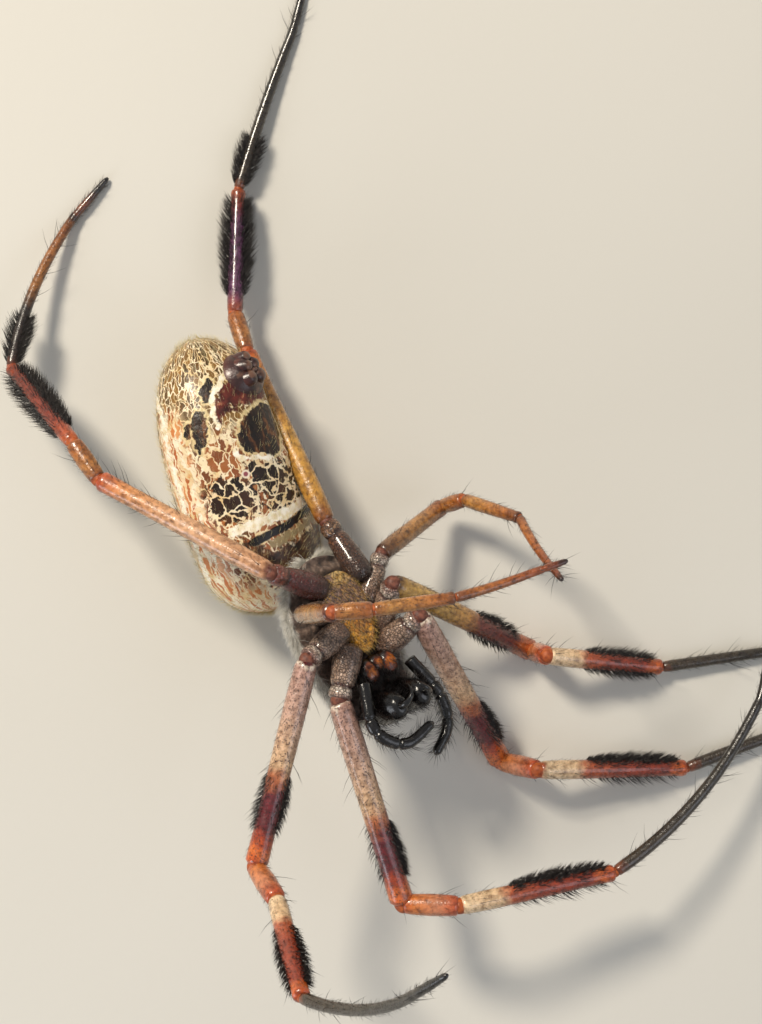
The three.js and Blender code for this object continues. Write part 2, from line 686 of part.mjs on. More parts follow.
function addPalp (side, name) {
  const bends = PALP_BENDS[name].map(([along, beside, out]) =>
    placeIn(body, bodyCentre, along, side * beside, out))
  const curve = new THREE.CatmullRomCurve3(bends, false, 'catmullrom', 0.25)
  const path = curve.getSpacedPoints(PALP_STEPS)
  const first = path[1].clone().sub(path[0]).normalize()
  const last = path[PALP_STEPS].clone().sub(path[PALP_STEPS - 1]).normalize()
  const radiusAt = (t) => PALP_RADIUS * (1 - PALP_TAPER * Math.pow(t, 3))
  addNode(`palp_${name}`, COLOURS.palp, tube(path, radiusAt, first, last, 10, 0), 0.3)
}

function addPedicel () {
  const clear = stalk(0).subtract(toSolid(carapaceShape(GAP)))
  addNode('pedicel', COLOURS.pedicel, toGeometry(clear))
}

addAbdomen()
addSpinnerets()
addPedicel()
addCarapace()
addSternum()
addMouthparts()
for (const [side, name] of [[1, 'l'], [-1, 'r']]) {
  addChelicera(side, name)
  addFang(side, name)
  addPalp(side, name)
}

export default object
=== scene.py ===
"""Looks of a life-size golden silk orb weaver on her back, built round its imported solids."""

from __future__ import annotations

import logging
import math
from dataclasses import dataclass, field
from enum import Enum
from typing import Sequence

import bpy
import numpy as np
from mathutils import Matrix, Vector

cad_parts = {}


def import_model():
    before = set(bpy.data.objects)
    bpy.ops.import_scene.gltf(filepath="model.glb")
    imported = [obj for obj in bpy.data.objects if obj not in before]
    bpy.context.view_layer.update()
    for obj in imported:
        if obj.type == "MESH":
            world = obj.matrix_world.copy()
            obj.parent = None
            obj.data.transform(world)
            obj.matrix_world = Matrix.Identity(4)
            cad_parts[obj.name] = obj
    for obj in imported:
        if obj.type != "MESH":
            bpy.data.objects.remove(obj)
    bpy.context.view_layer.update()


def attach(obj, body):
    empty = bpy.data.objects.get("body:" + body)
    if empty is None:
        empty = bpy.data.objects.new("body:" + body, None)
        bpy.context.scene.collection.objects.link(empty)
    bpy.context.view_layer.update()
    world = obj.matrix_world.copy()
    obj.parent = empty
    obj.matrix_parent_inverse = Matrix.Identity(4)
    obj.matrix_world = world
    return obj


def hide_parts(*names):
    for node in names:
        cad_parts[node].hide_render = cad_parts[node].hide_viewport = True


log = logging.getLogger("orb_weaver")

# Metres in a millimetre. Shapes are worked out in millimetres.
MM = 0.001
# Millimetres that bring the middle of the model over the origin.
SHIFT = np.array([-7.2, -3.6, 0.0])
UP = np.array([0.0, 0.0, 1.0])
HAIR_SEED = 41
# Millimetres that hair stays above the floor.
FLOOR_CLEARANCE = 0.01
SPLINE_STEPS = 24
# Size of one hair's patch on the unwrap, and the unwrap's empty edge.
PATCH_SIZE = 0.003
UNWRAP_EDGE = 0.01


class Side(Enum):
    """The animal's own sides."""

    LEFT = 1
    RIGHT = -1


class Segment(Enum):
    """Leg segments from the body outwards, named as the solids that they dress."""

    COXA = "coxa"
    FEMUR = "femur"
    PATELLA = "patella"
    TIBIA = "tibia"
    FOOT = "foot"


def direction(heading: float, rise: float) -> np.ndarray:
    """Unit vector for a heading from +X and a rise above the floor, in degrees."""
    h, r = math.radians(heading), math.radians(rise)
    return np.array([math.cos(h) * math.cos(r), math.sin(h) * math.cos(r), math.sin(r)])


def unit(vectors: np.ndarray) -> np.ndarray:
    """Vectors scaled to length one along their last axis."""
    return vectors / np.maximum(np.linalg.norm(vectors, axis=-1, keepdims=True), 1e-12)


def smoothstep(x: np.ndarray, low: float, high: float) -> np.ndarray:
    """Smooth rise from 0 at low to 1 at high."""
    t = np.clip((np.asarray(x, float) - low) / (high - low), 0, 1)
    return t * t * (3 - 2 * t)


Amount = float | np.ndarray


@dataclass(frozen=True)
class Axes:
    """Body frame of the animal on her back: forward, to her left, and out of her belly."""

    heading: float
    rise: float
    roll: float
    centre: tuple[float, float, float]

    @property
    def forward(self) -> np.ndarray:
        """Direction from rear to front."""
        return direction(self.heading, self.rise)

    @property
    def left(self) -> np.ndarray:
        """Direction to the animal's own left."""
        level, top, roll = self._turned()
        return level * math.cos(roll) + top * math.sin(roll)

    @property
    def belly(self) -> np.ndarray:
        """Direction out of the belly."""
        level, top, roll = self._turned()
        return top * math.cos(roll) - level * math.sin(roll)

    def _turned(self) -> tuple[np.ndarray, np.ndarray, float]:
        """Level and upward cross directions before the roll, and the roll in radians."""
        level = unit(np.cross(self.forward, UP))
        return level, unit(np.cross(level, self.forward)), math.radians(self.roll)

    def place(self, along: Amount, beside: Amount, out: Amount) -> np.ndarray:
        """Points at the given distances in this frame.

        Args:
            along: Millimetres forward of the centre.
            beside: Millimetres to the left of the centre.
            out: Millimetres out of the belly.

        Returns:
            Array of points in millimetres, before the model's shift.
        """
        along, beside, out = np.broadcast_arrays(along, beside, out)
        return (
            np.array(self.centre)
            + along[..., None] * self.forward
            + beside[..., None] * self.left
            + out[..., None] * self.belly
        )


BODY = Axes(-64, 0, 34, (-2.1, -6.8, 9.4))
ABDOMEN = Axes(-72.5, -5, 56, (-10.25, 2.62, 5.0))


@dataclass
class Draft:
    """Mesh under construction, in millimetres, with named values for each vertex."""

    points: list[np.ndarray] = field(default_factory=list)
    quads: list[np.ndarray] = field(default_factory=list)
    triangles: list[np.ndarray] = field(default_factory=list)
    values: dict[str, list[np.ndarray]] = field(default_factory=dict)
    patches: list[np.ndarray] = field(default_factory=list)
    count: int = 0

    def add(
        self,
        points: np.ndarray,
        quads: np.ndarray | None = None,
        triangles: np.ndarray | None = None,
        patch: np.ndarray | None = None,
        **values: np.ndarray,
    ) -> None:
        """Adds a closed or open surface.

        Args:
            points: Vertices, n by 3.
            quads: Four-sided faces by index into points.
            triangles: Three-sided faces by index into points.
            patch: Place of each vertex on the skin's unwrap, n by 2.
            **values: One number per vertex for each named attribute.
        """
        if quads is not None and len(quads):
            self.quads.append(np.asarray(quads) + self.count)
        if triangles is not None and len(triangles):
            self.triangles.append(np.asarray(triangles) + self.count)
        self.points.append(points)
        if patch is not None:
            self.patches.append(patch)
        for name, value in values.items():
            self.values.setdefault(name, []).append(np.broadcast_to(value, len(points)))
        self.count += len(points)

    def build(self, name: str, material: bpy.types.Material) -> bpy.types.Object:
        """Blender object of the draft, smooth shaded, in metres.

        Args:
            name: Name of the piece.
            material: Its one material.

        Returns:
            The linked mesh object.
        """
        points = (np.vstack(self.points) + SHIFT) * MM
        corners, starts, totals = [], [], []
        begin = 0
        for faces, sides in ((self.quads, 4), (self.triangles, 3)):
            if faces:
                stack = np.vstack(faces)
                corners.append(stack.ravel())
                starts.append(begin + sides * np.arange(len(stack)))
                totals.append(np.full(len(stack), sides))
                begin += stack.size
        corner = np.concatenate(corners).astype(np.int32)
        mesh = bpy.data.meshes.new(name)
        mesh.vertices.add(len(points))
        mesh.vertices.foreach_set("co", points.astype(np.float32).ravel())
        mesh.loops.add(len(corner))
        mesh.loops.foreach_set("vertex_index", corner)
        start = np.concatenate(starts).astype(np.int32)
        mesh.polygons.add(len(start))
        mesh.polygons.foreach_set("loop_start", start)
        mesh.polygons.foreach_set("loop_total", np.concatenate(totals).astype(np.int32))
        mesh.update(calc_edges=True)
        for label, parts in self.values.items():
            layer = mesh.attributes.new(label, "FLOAT", "POINT")
            layer.data.foreach_set("value", np.concatenate(parts).astype(np.float32))
        if self.patches:
            layer = mesh.uv_layers.new(name="OFBake")
            place = np.vstack(self.patches)[corner]
            layer.data.foreach_set("uv", place.astype(np.float32).ravel())
        mesh.shade_smooth()
        mesh.materials.append(material)
        piece = bpy.data.objects.new(name, mesh)
        bpy.context.scene.collection.objects.link(piece)
        return piece


def skin_faces(rings: int, sides: int) -> tuple[np.ndarray, np.ndarray]:
    """Faces of a skin over rings of vertices, with a middle vertex at both ends.

    Args:
        rings: Number of rings.
        sides: Vertices in each ring.

    Returns:
        Quads between the rings, and triangles of the two ends.
    """
    i, j = np.meshgrid(np.arange(rings - 1), np.arange(sides), indexing="ij")
    k = (j + 1) % sides
    a, b = i * sides + j, i * sides + k
    quads = np.stack([a, b, b + sides, a + sides], -1).reshape(-1, 4)
    j = np.arange(sides)
    k = (j + 1) % sides
    first, last = rings * sides, rings * sides + 1
    base = (rings - 1) * sides
    start = np.stack([k, j, np.full(sides, first)], -1)
    end = np.stack([base + j, base + k, np.full(sides, last)], -1)
    return quads, np.vstack([start, end])


def add_skin(draft: Draft, rings: np.ndarray, **values: np.ndarray) -> None:
    """Adds a closed skin over rings to a draft.

    Args:
        draft: Draft that receives it.
        rings: Points, rings by sides by 3.
        **values: For each attribute one number per ring, or per ring and side.
    """
    count, sides = rings.shape[:2]
    ends = np.array([rings[0].mean(0), rings[-1].mean(0)])
    points = np.vstack([rings.reshape(-1, 3), ends])
    points[:, 2] = np.maximum(points[:, 2], 0.0)
    quads, triangles = skin_faces(count, sides)
    full = {}
    for name, value in values.items():
        value = np.asarray(value, float)
        spread = np.broadcast_to(value if value.ndim == 2 else value[:, None], (count, sides))
        full[name] = np.concatenate([spread.ravel(), [spread[0].mean(), spread[-1].mean()]])
    middle = points[: count * sides].mean(0)
    a, b, c = (points[triangles[:, i]] - middle for i in range(3))
    p, q, r, s = (points[quads[:, i]] - middle for i in range(4))
    volume = np.einsum("ij,ij", a, np.cross(b, c)) + np.einsum("ij,ij", p, np.cross(q, r))
    volume += np.einsum("ij,ij", p, np.cross(r, s))
    if volume < 0:
        quads, triangles = quads[:, ::-1], triangles[:, ::-1]
    draft.add(points, quads, triangles, **full)


def frames_along(path: np.ndarray) -> tuple[np.ndarray, np.ndarray, np.ndarray]:
    """Tangents and two cross directions along a path, turning as little as possible.

    Args:
        path: Points, n by 3.

    Returns:
        Tangents, sides and third directions, each n by 3.
    """
    tangents = unit(np.gradient(path, axis=0))
    seed = UP if abs(tangents[0][2]) < 0.9 else np.array([1.0, 0, 0])
    side = unit(np.cross(seed, tangents[0]))
    sides = []
    for tangent in tangents:
        side = unit(side - tangent * side.dot(tangent))
        sides.append(side)
    sides = np.array(sides)
    return tangents, sides, np.cross(tangents, sides)


def sweep(path: np.ndarray, radii: np.ndarray, sides: int) -> np.ndarray:
    """Round rings round a path.

    Args:
        path: Points, n by 3.
        radii: Radius at each point.
        sides: Vertices in each ring.

    Returns:
        Rings, n by sides by 3.
    """
    _, side, other = frames_along(path)
    angle = 2 * np.pi * np.arange(sides) / sides
    offset = (
        np.cos(angle)[None, :, None] * side[:, None]
        + np.sin(angle)[None, :, None] * other[:, None]
    )
    return path[:, None] + radii[:, None, None] * offset


def on_unwrap(across: np.ndarray, up: np.ndarray) -> np.ndarray:
    """Places on a skin's unwrap, n by 2, a little inside its edge, from shares of 0 to 1."""
    return UNWRAP_EDGE + (1 - 2 * UNWRAP_EDGE) * np.stack([across, up], 1)


def spline(points: Sequence[np.ndarray], count: int) -> np.ndarray:
    """Smooth curve through the given points.

    Args:
        points: Points that the curve passes through.
        count: Number of points wanted on it.

    Returns:
        Evenly spaced points on the curve, count by 3.
    """
    knots = np.array(points, float)
    padded = np.vstack([2 * knots[0] - knots[1], knots, 2 * knots[-1] - knots[-2]])
    dense = []
    for i in range(len(knots) - 1):
        p0, p1, p2, p3 = padded[i : i + 4]
        t = np.linspace(0, 1, SPLINE_STEPS, endpoint=False)[:, None]
        bend = (2 * p0 - 5 * p1 + 4 * p2 - p3) * t**2 + (3 * p1 - p0 - 3 * p2 + p3) * t**3
        dense.append(0.5 * (2 * p1 + (p2 - p0) * t + bend))
    curve = np.vstack([*dense, knots[-1:]])
    lengths = np.concatenate([[0], np.cumsum(np.linalg.norm(np.diff(curve, axis=0), axis=1))])
    even = np.linspace(0, lengths[-1], count)
    return np.stack([np.interp(even, lengths, curve[:, i]) for i in range(3)], 1)


def ride(piece: bpy.types.Object, *solids: str, slot: str | None = None) -> None:
    """Fixes a piece to the model's one body and logs it.

    Args:
        piece: The piece.
        *solids: Names of the solids that it is shown in place of.
        slot: Material slot of the record that it belongs to. Not used.
    """
    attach(piece, "root")
    if solids:
        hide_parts(*solids)
    log.info("%s: %d faces", piece.name, len(piece.data.polygons))


def linear(colour: int) -> tuple[float, float, float, float]:
    """Linear RGBA of an sRGB colour written as 0xrrggbb."""
    parts = [((colour >> shift) & 255) / 255 for shift in (16, 8, 0)]
    return (*[c / 12.92 if c <= 0.04045 else ((c + 0.055) / 1.055) ** 2.4 for c in parts], 1.0)


def per(size: float) -> float:
    """Texture scale whose features have this size in millimetres."""
    return 1 / (size * MM)


Socket = bpy.types.NodeSocket
Stops = tuple[tuple[float, int], ...]


class Node(Enum):
    """Nodes used here: Blender's type, inputs in order, output and fixed settings."""

    PLACE = ("TexCoord", (), "Object", {})
    FIELD = ("Attribute", (), "Fac", {})
    JOIN = ("CombineXYZ", (0, 1, 2), 0, {})
    STRETCH = ("Mapping", ("Vector", "Scale"), 0, {})
    NOISE = ("TexNoise", ("Vector", "Scale", "Detail"), "Fac", {})
    DRIFT = ("TexNoise", ("Vector", "Scale", "Detail"), "Color", {})
    CELL_EDGE = ("TexVoronoi", ("Vector", "Scale"), "Distance", {"feature": "DISTANCE_TO_EDGE"})
    CELL_TONE = ("TexVoronoi", ("Vector", "Scale"), "Color", {"feature": "F1"})
    RED = ("SeparateColor", ("Color",), 0, {})
    ADD_VECTOR = ("VectorMath", (0, 1), 0, {"operation": "ADD"})
    SCALE_VECTOR = ("VectorMath", (0, "Scale"), 0, {"operation": "SCALE"})
    ADD = ("Math", (0, 1), 0, {"operation": "ADD"})
    MULTIPLY = ("Math", (0, 1), 0, {"operation": "MULTIPLY"})
    RISE = (
        "MapRange",
        ("Value", "From Min", "From Max", "To Min", "To Max"),
        "Result",
        {"interpolation_type": "SMOOTHSTEP"},
    )
    RAMP = ("ValToRGB", ("Fac",), "Color", {})
    MIX = ("Mix", (0, 6, 7), 2, {"data_type": "RGBA"})
    DARKEN = ("Mix", (0, 6, 7), 2, {"data_type": "RGBA", "blend_type": "MULTIPLY"})
    BUMP = ("Bump", ("Height", "Distance", "Normal"), 0, {})


@dataclass(frozen=True)
class Gloss:
    """How a surface takes light, the same all over it. Dry insect and spider chitin has IOR 1.56."""

    roughness: float
    ior: float = 1.56
    coat: float = 0.0
    coat_roughness: float = 0.2
    sheen: float = 0.0
    depth: float = 0.0


class Surface:
    """Node tree of one material round one Principled shader."""

    def __init__(self, name: str, gloss: Gloss) -> None:
        """Makes the material and sets what is the same all over it.

        Args:
            name: Name of the material.
            gloss: How it takes light.
        """
        self.material = bpy.data.materials.new(name)
        self.material.use_nodes = True
        self.tree = self.material.node_tree
        self.shader = self.tree.nodes["Principled BSDF"]
        for socket, value in (
            ("Roughness", gloss.roughness),
            ("IOR", gloss.ior),
            ("Coat Weight", gloss.coat),
            ("Coat Roughness", gloss.coat_roughness),
            ("Sheen Weight", gloss.sheen),
            ("Subsurface Weight", gloss.depth),
            ("Subsurface Radius", (1.0, 0.5, 0.3)),
            ("Subsurface Scale", 0.4 * MM),
        ):
            self.shader.inputs[socket].default_value = value
        self.place = self.add(Node.PLACE)

    def add(self, node: Node, *inputs: object, stops: Stops = (), **settings: object) -> Socket:
        """Adds a node with its settings and links.

        Args:
            node: The node, with its inputs in the order that Node names.
            *inputs: Sockets, numbers, or colours as 0xrrggbb. None leaves an input as it is.
            stops: Places and colours of a colour ramp.
            **settings: Further attributes of the node.

        Returns:
            The node's output.
        """
        kind, slots, output, fixed = node.value
        made = self.tree.nodes.new("ShaderNode" + kind)
        for key, value in {**fixed, **settings}.items():
            setattr(made, key, value)
        for slot, value in zip(slots, inputs):
            target = made.inputs[slot]
            if isinstance(value, Socket):
                self.tree.links.new(value, target)
            elif value is not None:
                target.default_value = linear(value) if target.type == "RGBA" else value
        if stops:
            bar = made.color_ramp.elements
            bar[0].position, bar[1].position = stops[0][0], stops[-1][0]
            bar[0].color, bar[1].color = linear(stops[0][1]), linear(stops[-1][1])
            for position, colour in stops[1:-1]:
                bar.new(position).color = linear(colour)
        return made.outputs[output]

    def finish(
        self, colour: Socket, normal: Socket, roughness: Socket | None = None
    ) -> bpy.types.Material:
        """Links what varies over the surface to the shader.

        Args:
            colour: Base colour.
            normal: Normal with the relief.
            roughness: Roughness, where it varies.

        Returns:
            The material.
        """
        for socket, value in (("Base Color", colour), ("Normal", normal), ("Roughness", roughness)):
            if value is not None:
                self.tree.links.new(value, self.shader.inputs[socket])
        return self.material


@dataclass(frozen=True)
class LegChitin:
    """Tanned chitin of a leg segment.

    A thin wax layer over a hard, slightly clear skin: the eye sees satin highlights, a colour that
    runs from joint to joint, fine dark specks and a grain of tiny hair sockets.
    """

    name: str
    stops: Stops
    specks: float = 0.5
    scales: float = 0.0

    def material(self) -> bpy.types.Material:
        """Makes the material once, for all segments that wear it.

        Returns:
            The material.
        """
        known = bpy.data.materials.get(self.name)
        if known:
            return known
        s = Surface(self.name, Gloss(roughness=0.3, coat=0.55, coat_roughness=0.12, depth=0.06))
        along = s.add(Node.FIELD, attribute_name="along")
        wobble = s.add(Node.RISE, s.add(Node.NOISE, s.place, per(0.9), 3.0), 0.2, 0.8, -0.03, 0.03)
        colour = s.add(Node.RAMP, s.add(Node.ADD, along, wobble), stops=self.stops)
        cloud = s.add(Node.NOISE, s.place, per(0.4), 4.0)
        cloud = s.add(Node.RAMP, cloud, stops=((0.28, 0xA09488), (0.62, 0xFFFFFF)))
        colour = s.add(Node.DARKEN, 1.0, colour, cloud)
        speck = s.add(Node.RISE, s.add(Node.NOISE, s.place, per(0.13), 3.0), 0.54, 0.66, 0.0, self.specks)
        colour = s.add(Node.MIX, speck, colour, 0x2E1414)
        # Scales of the coxae are about 0.12 mm, drawn a little coarser so that they show.
        edge = s.add(Node.CELL_EDGE, s.place, per(0.2))
        crack = s.add(Node.RISE, edge, 0.0, 0.16, self.scales, 0.0)
        colour = s.add(Node.MIX, crack, colour, 0x2A1C16)
        normal = s.add(Node.BUMP, s.add(Node.NOISE, s.place, per(0.14), 4.0), 0.03 * MM)
        normal = s.add(Node.BUMP, s.add(Node.NOISE, s.place, per(0.8), 2.0), 0.06 * MM, normal)
        normal = s.add(Node.BUMP, crack, -0.06 * MM, normal)
        worn = s.add(Node.RISE, s.add(Node.NOISE, s.place, per(0.3), 2.0), 0.3, 0.7, 0.2, 0.4)
        return s.finish(colour, normal, worn)


@dataclass(frozen=True)
class Bristle:
    """Stiff hair of solid chitin, darker or paler towards its tip, with a dull gleam."""

    name: str
    root: int
    tip: int
    roughness: float = 0.4

    def material(self) -> bpy.types.Material:
        """Makes the material.

        Returns:
            The material.
        """
        s = Surface(self.name, Gloss(roughness=self.roughness))
        reach = s.add(Node.FIELD, attribute_name="reach")
        colour = s.add(Node.RAMP, reach, stops=((0.0, self.root), (1.0, self.tip)))
        shade = s.add(Node.NOISE, s.place, per(0.5), 2.0)
        shade = s.add(Node.RAMP, shade, stops=((0.3, 0x606060), (0.7, 0xFFFFFF)))
        colour = s.add(Node.DARKEN, 0.5, colour, shade)
        grain = s.add(Node.NOISE, s.place, per(0.05), 1.0)
        return s.finish(colour, s.add(Node.BUMP, grain, 0.004 * MM))


COXA_GREY = LegChitin(
    "chitin_coxa_grey_brown",
    (
        (0.0, 0x4A362A), (0.2, 0x8A6C5A), (0.45, 0xB2947F), (0.7, 0xB89C88), (0.76, 0x542A24),
        (0.82, 0xE2D4C4), (0.92, 0xC4A898), (1.0, 0x6A2A24),
    ),
    specks=0.8,
    scales=0.8,
)
COXA_BROWN = LegChitin(
    "chitin_coxa_brown",
    (
        (0.0, 0x2E1C14), (0.3, 0x5E4030), (0.7, 0x7A523A), (0.77, 0x3E1E18), (0.83, 0xB08A68),
        (1.0, 0x6A3420),
    ),
    specks=0.8,
    scales=0.9,
)
COXA_RED = LegChitin(
    "chitin_coxa_dark_red",
    (
        (0.0, 0x2A1412), (0.35, 0x5E241E), (0.72, 0x74302A), (0.78, 0x3A1614), (0.85, 0xA8604A),
        (1.0, 0x6A2820),
    ),
    specks=0.6,
    scales=0.5,
)
FEMUR_MAUVE = LegChitin(
    "chitin_femur_mauve",
    (
        (0.0, 0x581E1E), (0.018, 0xECDCCA), (0.04, 0xBC9486), (0.25, 0xC6A08C), (0.5, 0xDCB68E),
        (0.58, 0xB4683E), (0.66, 0x6E1E26), (0.8, 0x661C1E), (0.88, 0xB2461C), (0.94, 0xD8702C),
        (1.0, 0xC4521C),
    ),
    specks=0.8,
)
FEMUR_GOLD = LegChitin(
    "chitin_femur_golden",
    (
        (0.0, 0x4A3018), (0.05, 0xC49A50), (0.3, 0xD2A654), (0.48, 0xC08A46), (0.58, 0x7A3A2A),
        (0.82, 0x64241C), (0.9, 0xC0622C), (1.0, 0xC45A22),
    ),
    specks=0.3,
)
FEMUR_TAN = LegChitin(
    "chitin_femur_pinkish_tan",
    ((0.0, 0x6E2C1E), (0.05, 0xD09A70), (0.5, 0xDEAC82), (0.82, 0xD6925A), (1.0, 0xB8481A)),
    specks=0.15,
)
FEMUR_ORANGE = LegChitin(
    "chitin_femur_orange",
    ((0.0, 0x7E3E1C), (0.1, 0xC08A38), (0.5, 0xCC9A48), (0.85, 0xC27C30), (1.0, 0xAE481A)),
    specks=0.1,
)
FEMUR_BROWN = LegChitin(
    "chitin_femur_orange_brown",
    ((0.0, 0x4E2E1C), (0.2, 0x96683A), (0.6, 0xB68246), (0.9, 0xA0602C), (1.0, 0x5E2A14)),
    specks=0.35,
)
PATELLA_ORANGE = LegChitin(
    "chitin_patella_orange",
    ((0.0, 0xBA4A1A), (0.2, 0xD07838), (0.6, 0xC8805A), (1.0, 0xBA4A1A)),
    specks=0.2,
)
PATELLA_BROWN = LegChitin(
    "chitin_patella_brown",
    ((0.0, 0x8A441C), (0.3, 0xB4783C), (1.0, 0xA25A26)),
    specks=0.3,
)
TIBIA_BANDED = LegChitin(
    "chitin_tibia_banded",
    (
        (0.0, 0xB2501E), (0.035, 0xEACDA6), (0.24, 0xE4C096), (0.32, 0xB2562E), (0.5, 0x983A1C),
        (0.84, 0x92341A), (0.92, 0xC86022), (1.0, 0xBA4C1A),
    ),
    specks=0.3,
)
TIBIA_BROWN = LegChitin(
    "chitin_tibia_orange_brown",
    ((0.0, 0x9C5A26), (0.2, 0xBC8646), (0.8, 0xB06A2E), (1.0, 0x6E3A16)),
    specks=0.35,
)
TIBIA_RED = LegChitin(
    "chitin_tibia_red_brown",
    ((0.0, 0xBA5A26), (0.1, 0xA44A28), (0.28, 0x8A3A26), (0.85, 0x76301C), (1.0, 0x96401A)),
    specks=0.4,
)
# Red-brown chitin of the right hind tibia. The violet stops from 0.16 to 0.7 are a painted sheen:
# reflected light painted into the base colour over the dark red.
TIBIA_RED_PAINTED_SHEEN = LegChitin(
    "chitin_tibia_violet_brown",
    (
        (0.0, 0xBA5A26), (0.07, 0x8E4438), (0.16, 0x64365A), (0.7, 0x5A3052), (0.86, 0x70281F),
        (1.0, 0xA0481A),
    ),
    specks=0.25,
)
FOOT_BANDED = LegChitin(
    "chitin_foot_banded",
    (
        (0.0, 0x70381A), (0.05, 0x2E2018), (0.28, 0x2A2018), (0.42, 0xA0672F), (0.7, 0x8E5426),
        (0.77, 0x2A1A12), (0.83, 0x7A3E1C), (0.93, 0x1C120C), (1.0, 0x0E0A08),
    ),
    specks=0.3,
)
FOOT_OLIVE = LegChitin(
    "chitin_foot_olive_black",
    ((0.0, 0x70381A), (0.05, 0x3A2E1E), (0.5, 0x2C261A), (0.8, 0x201A12), (1.0, 0x0E0A08)),
    specks=0.3,
)
FOOT_ORANGE = LegChitin(
    "chitin_foot_orange_brown",
    ((0.0, 0x763E1C), (0.2, 0xB06A2E), (0.6, 0xA05626), (0.88, 0x803C1C), (1.0, 0x1A100C)),
    specks=0.3,
)


@dataclass
class Hairs:
    """Many tapered hairs in one mesh, each rooted in a skin."""

    seed: int
    roots: list[np.ndarray] = field(default_factory=list)
    ends: list[np.ndarray] = field(default_factory=list)
    bends: list[np.ndarray] = field(default_factory=list)
    radii: list[np.ndarray] = field(default_factory=list)
    places: list[np.ndarray] = field(default_factory=list)

    def __post_init__(self) -> None:
        """Starts the random numbers from the seed."""
        self.random = np.random.default_rng(self.seed)

    def grow(
        self,
        roots: np.ndarray,
        outward: np.ndarray,
        along: np.ndarray,
        length: np.ndarray,
        lean: float,
        radius: float,
        places: np.ndarray,
        mess: float = 0.15,
        droop: float = 0.25,
    ) -> None:
        """Adds hairs.

        Args:
            roots: Root points, n by 3.
            outward: Unit directions out of the skin.
            along: Unit directions in which the hair lies.
            length: Length of each hair in millimetres.
            lean: Degrees from the outward direction towards its lie.
            radius: Radius at the root in millimetres.
            places: Place of each root on the skin's unwrap, n by 2.
            mess: How far directions differ.
            droop: How far the tip bends towards the lie, as a share of the length.
        """
        angle = math.radians(lean)
        aim = outward * math.cos(angle) + along * math.sin(angle)
        aim = unit(aim + mess * self.random.normal(size=aim.shape))
        length = np.broadcast_to(length, len(roots))[:, None]
        self.roots.append(roots - aim * radius * 2)
        self.ends.append(roots + aim * length)
        self.bends.append(along * droop * length)
        self.radii.append(np.full(len(roots), radius))
        self.places.append(places)

    def build(self, name: str, material: bpy.types.Material, sides: int = 3) -> bpy.types.Object:
        """Makes the one mesh of all hairs.

        Args:
            name: Name of the piece.
            material: Its material.
            sides: Faces round a hair.

        Returns:
            The mesh object.
        """
        root, end, bend = (np.vstack(x) for x in (self.roots, self.ends, self.bends))
        radius = np.concatenate(self.radii)
        place = np.vstack(self.places)
        count = len(root)
        axis = unit(end - root)
        side = unit(np.cross(axis, axis[:, [1, 2, 0]] + 0.137))
        other = np.cross(axis, side)
        stations = ((0.0, 1.0), (0.5, 0.72))
        angles = 2 * np.pi * np.arange(sides) / sides
        parts, reach, patch = [], [], []
        for share, size in stations:
            centre = root + (end - root) * share + bend * share**2
            for number, angle in enumerate(angles):
                offset = side * math.cos(angle) + other * math.sin(angle)
                parts.append(centre + offset * (radius * size)[:, None])
                reach.append(np.full(count, share))
                patch.append(place + PATCH_SIZE * np.array([number / sides, share]))
        parts.append(end + bend)
        reach.append(np.ones(count))
        patch.append(place + PATCH_SIZE * np.array([0.5, 1.0]))
        points = np.stack(parts, 1).reshape(-1, 3)
        points[:, 2] = np.maximum(points[:, 2], FLOOR_CLEARANCE)
        first = len(parts) * np.arange(count)[:, None]
        quads, triangles = [], []
        for j in range(sides):
            k = (j + 1) % sides
            quads.append(first + np.array([j, k, k + sides, j + sides]))
            triangles.append(first + np.array([j + sides, k + sides, 2 * sides]))
        draft = Draft()
        draft.add(
            points,
            np.vstack(quads),
            np.vstack(triangles),
            np.stack(patch, 1).reshape(-1, 2),
            reach=np.stack(reach, 1).ravel(),
        )
        return draft.build(name, material)


# Millimetres by pair of legs: coxa, femur, patella, tibia, and the two parts of the foot.
LENGTHS = {
    1: (2.6, 15.0, 3.9, 11.3, 16.4, 4.0),
    2: (2.5, 14.2, 3.6, 9.2, 13.2, 3.5),
    3: (2.4, 7.5, 2.6, 5.3, 5.3, 2.6),
    4: (3.6, 13.8, 3.2, 9.2, 12.2, 3.9),
}
# Millimetres by pair of legs: coxa, femur, patella, tibia, foot.
RADII = {
    1: (0.85, 0.88, 0.76, 0.72, 0.44),
    2: (0.82, 0.82, 0.74, 0.7, 0.42),
    3: (0.7, 0.66, 0.58, 0.5, 0.34),
    4: (0.78, 0.74, 0.66, 0.62, 0.42),
}
# Millimetres by pair: forward and beside to the root of the legs, and how far coxae reach inside.
COXA_ALONG = {1: 3.0, 2: 1.1, 3: -0.9, 4: -2.8}
COXA_BESIDE = {1: 2.1, 2: 2.4, 3: 2.4, 4: 2.0}
COXA_ROOT = 1.3

Profile = tuple[tuple[float, float], ...]
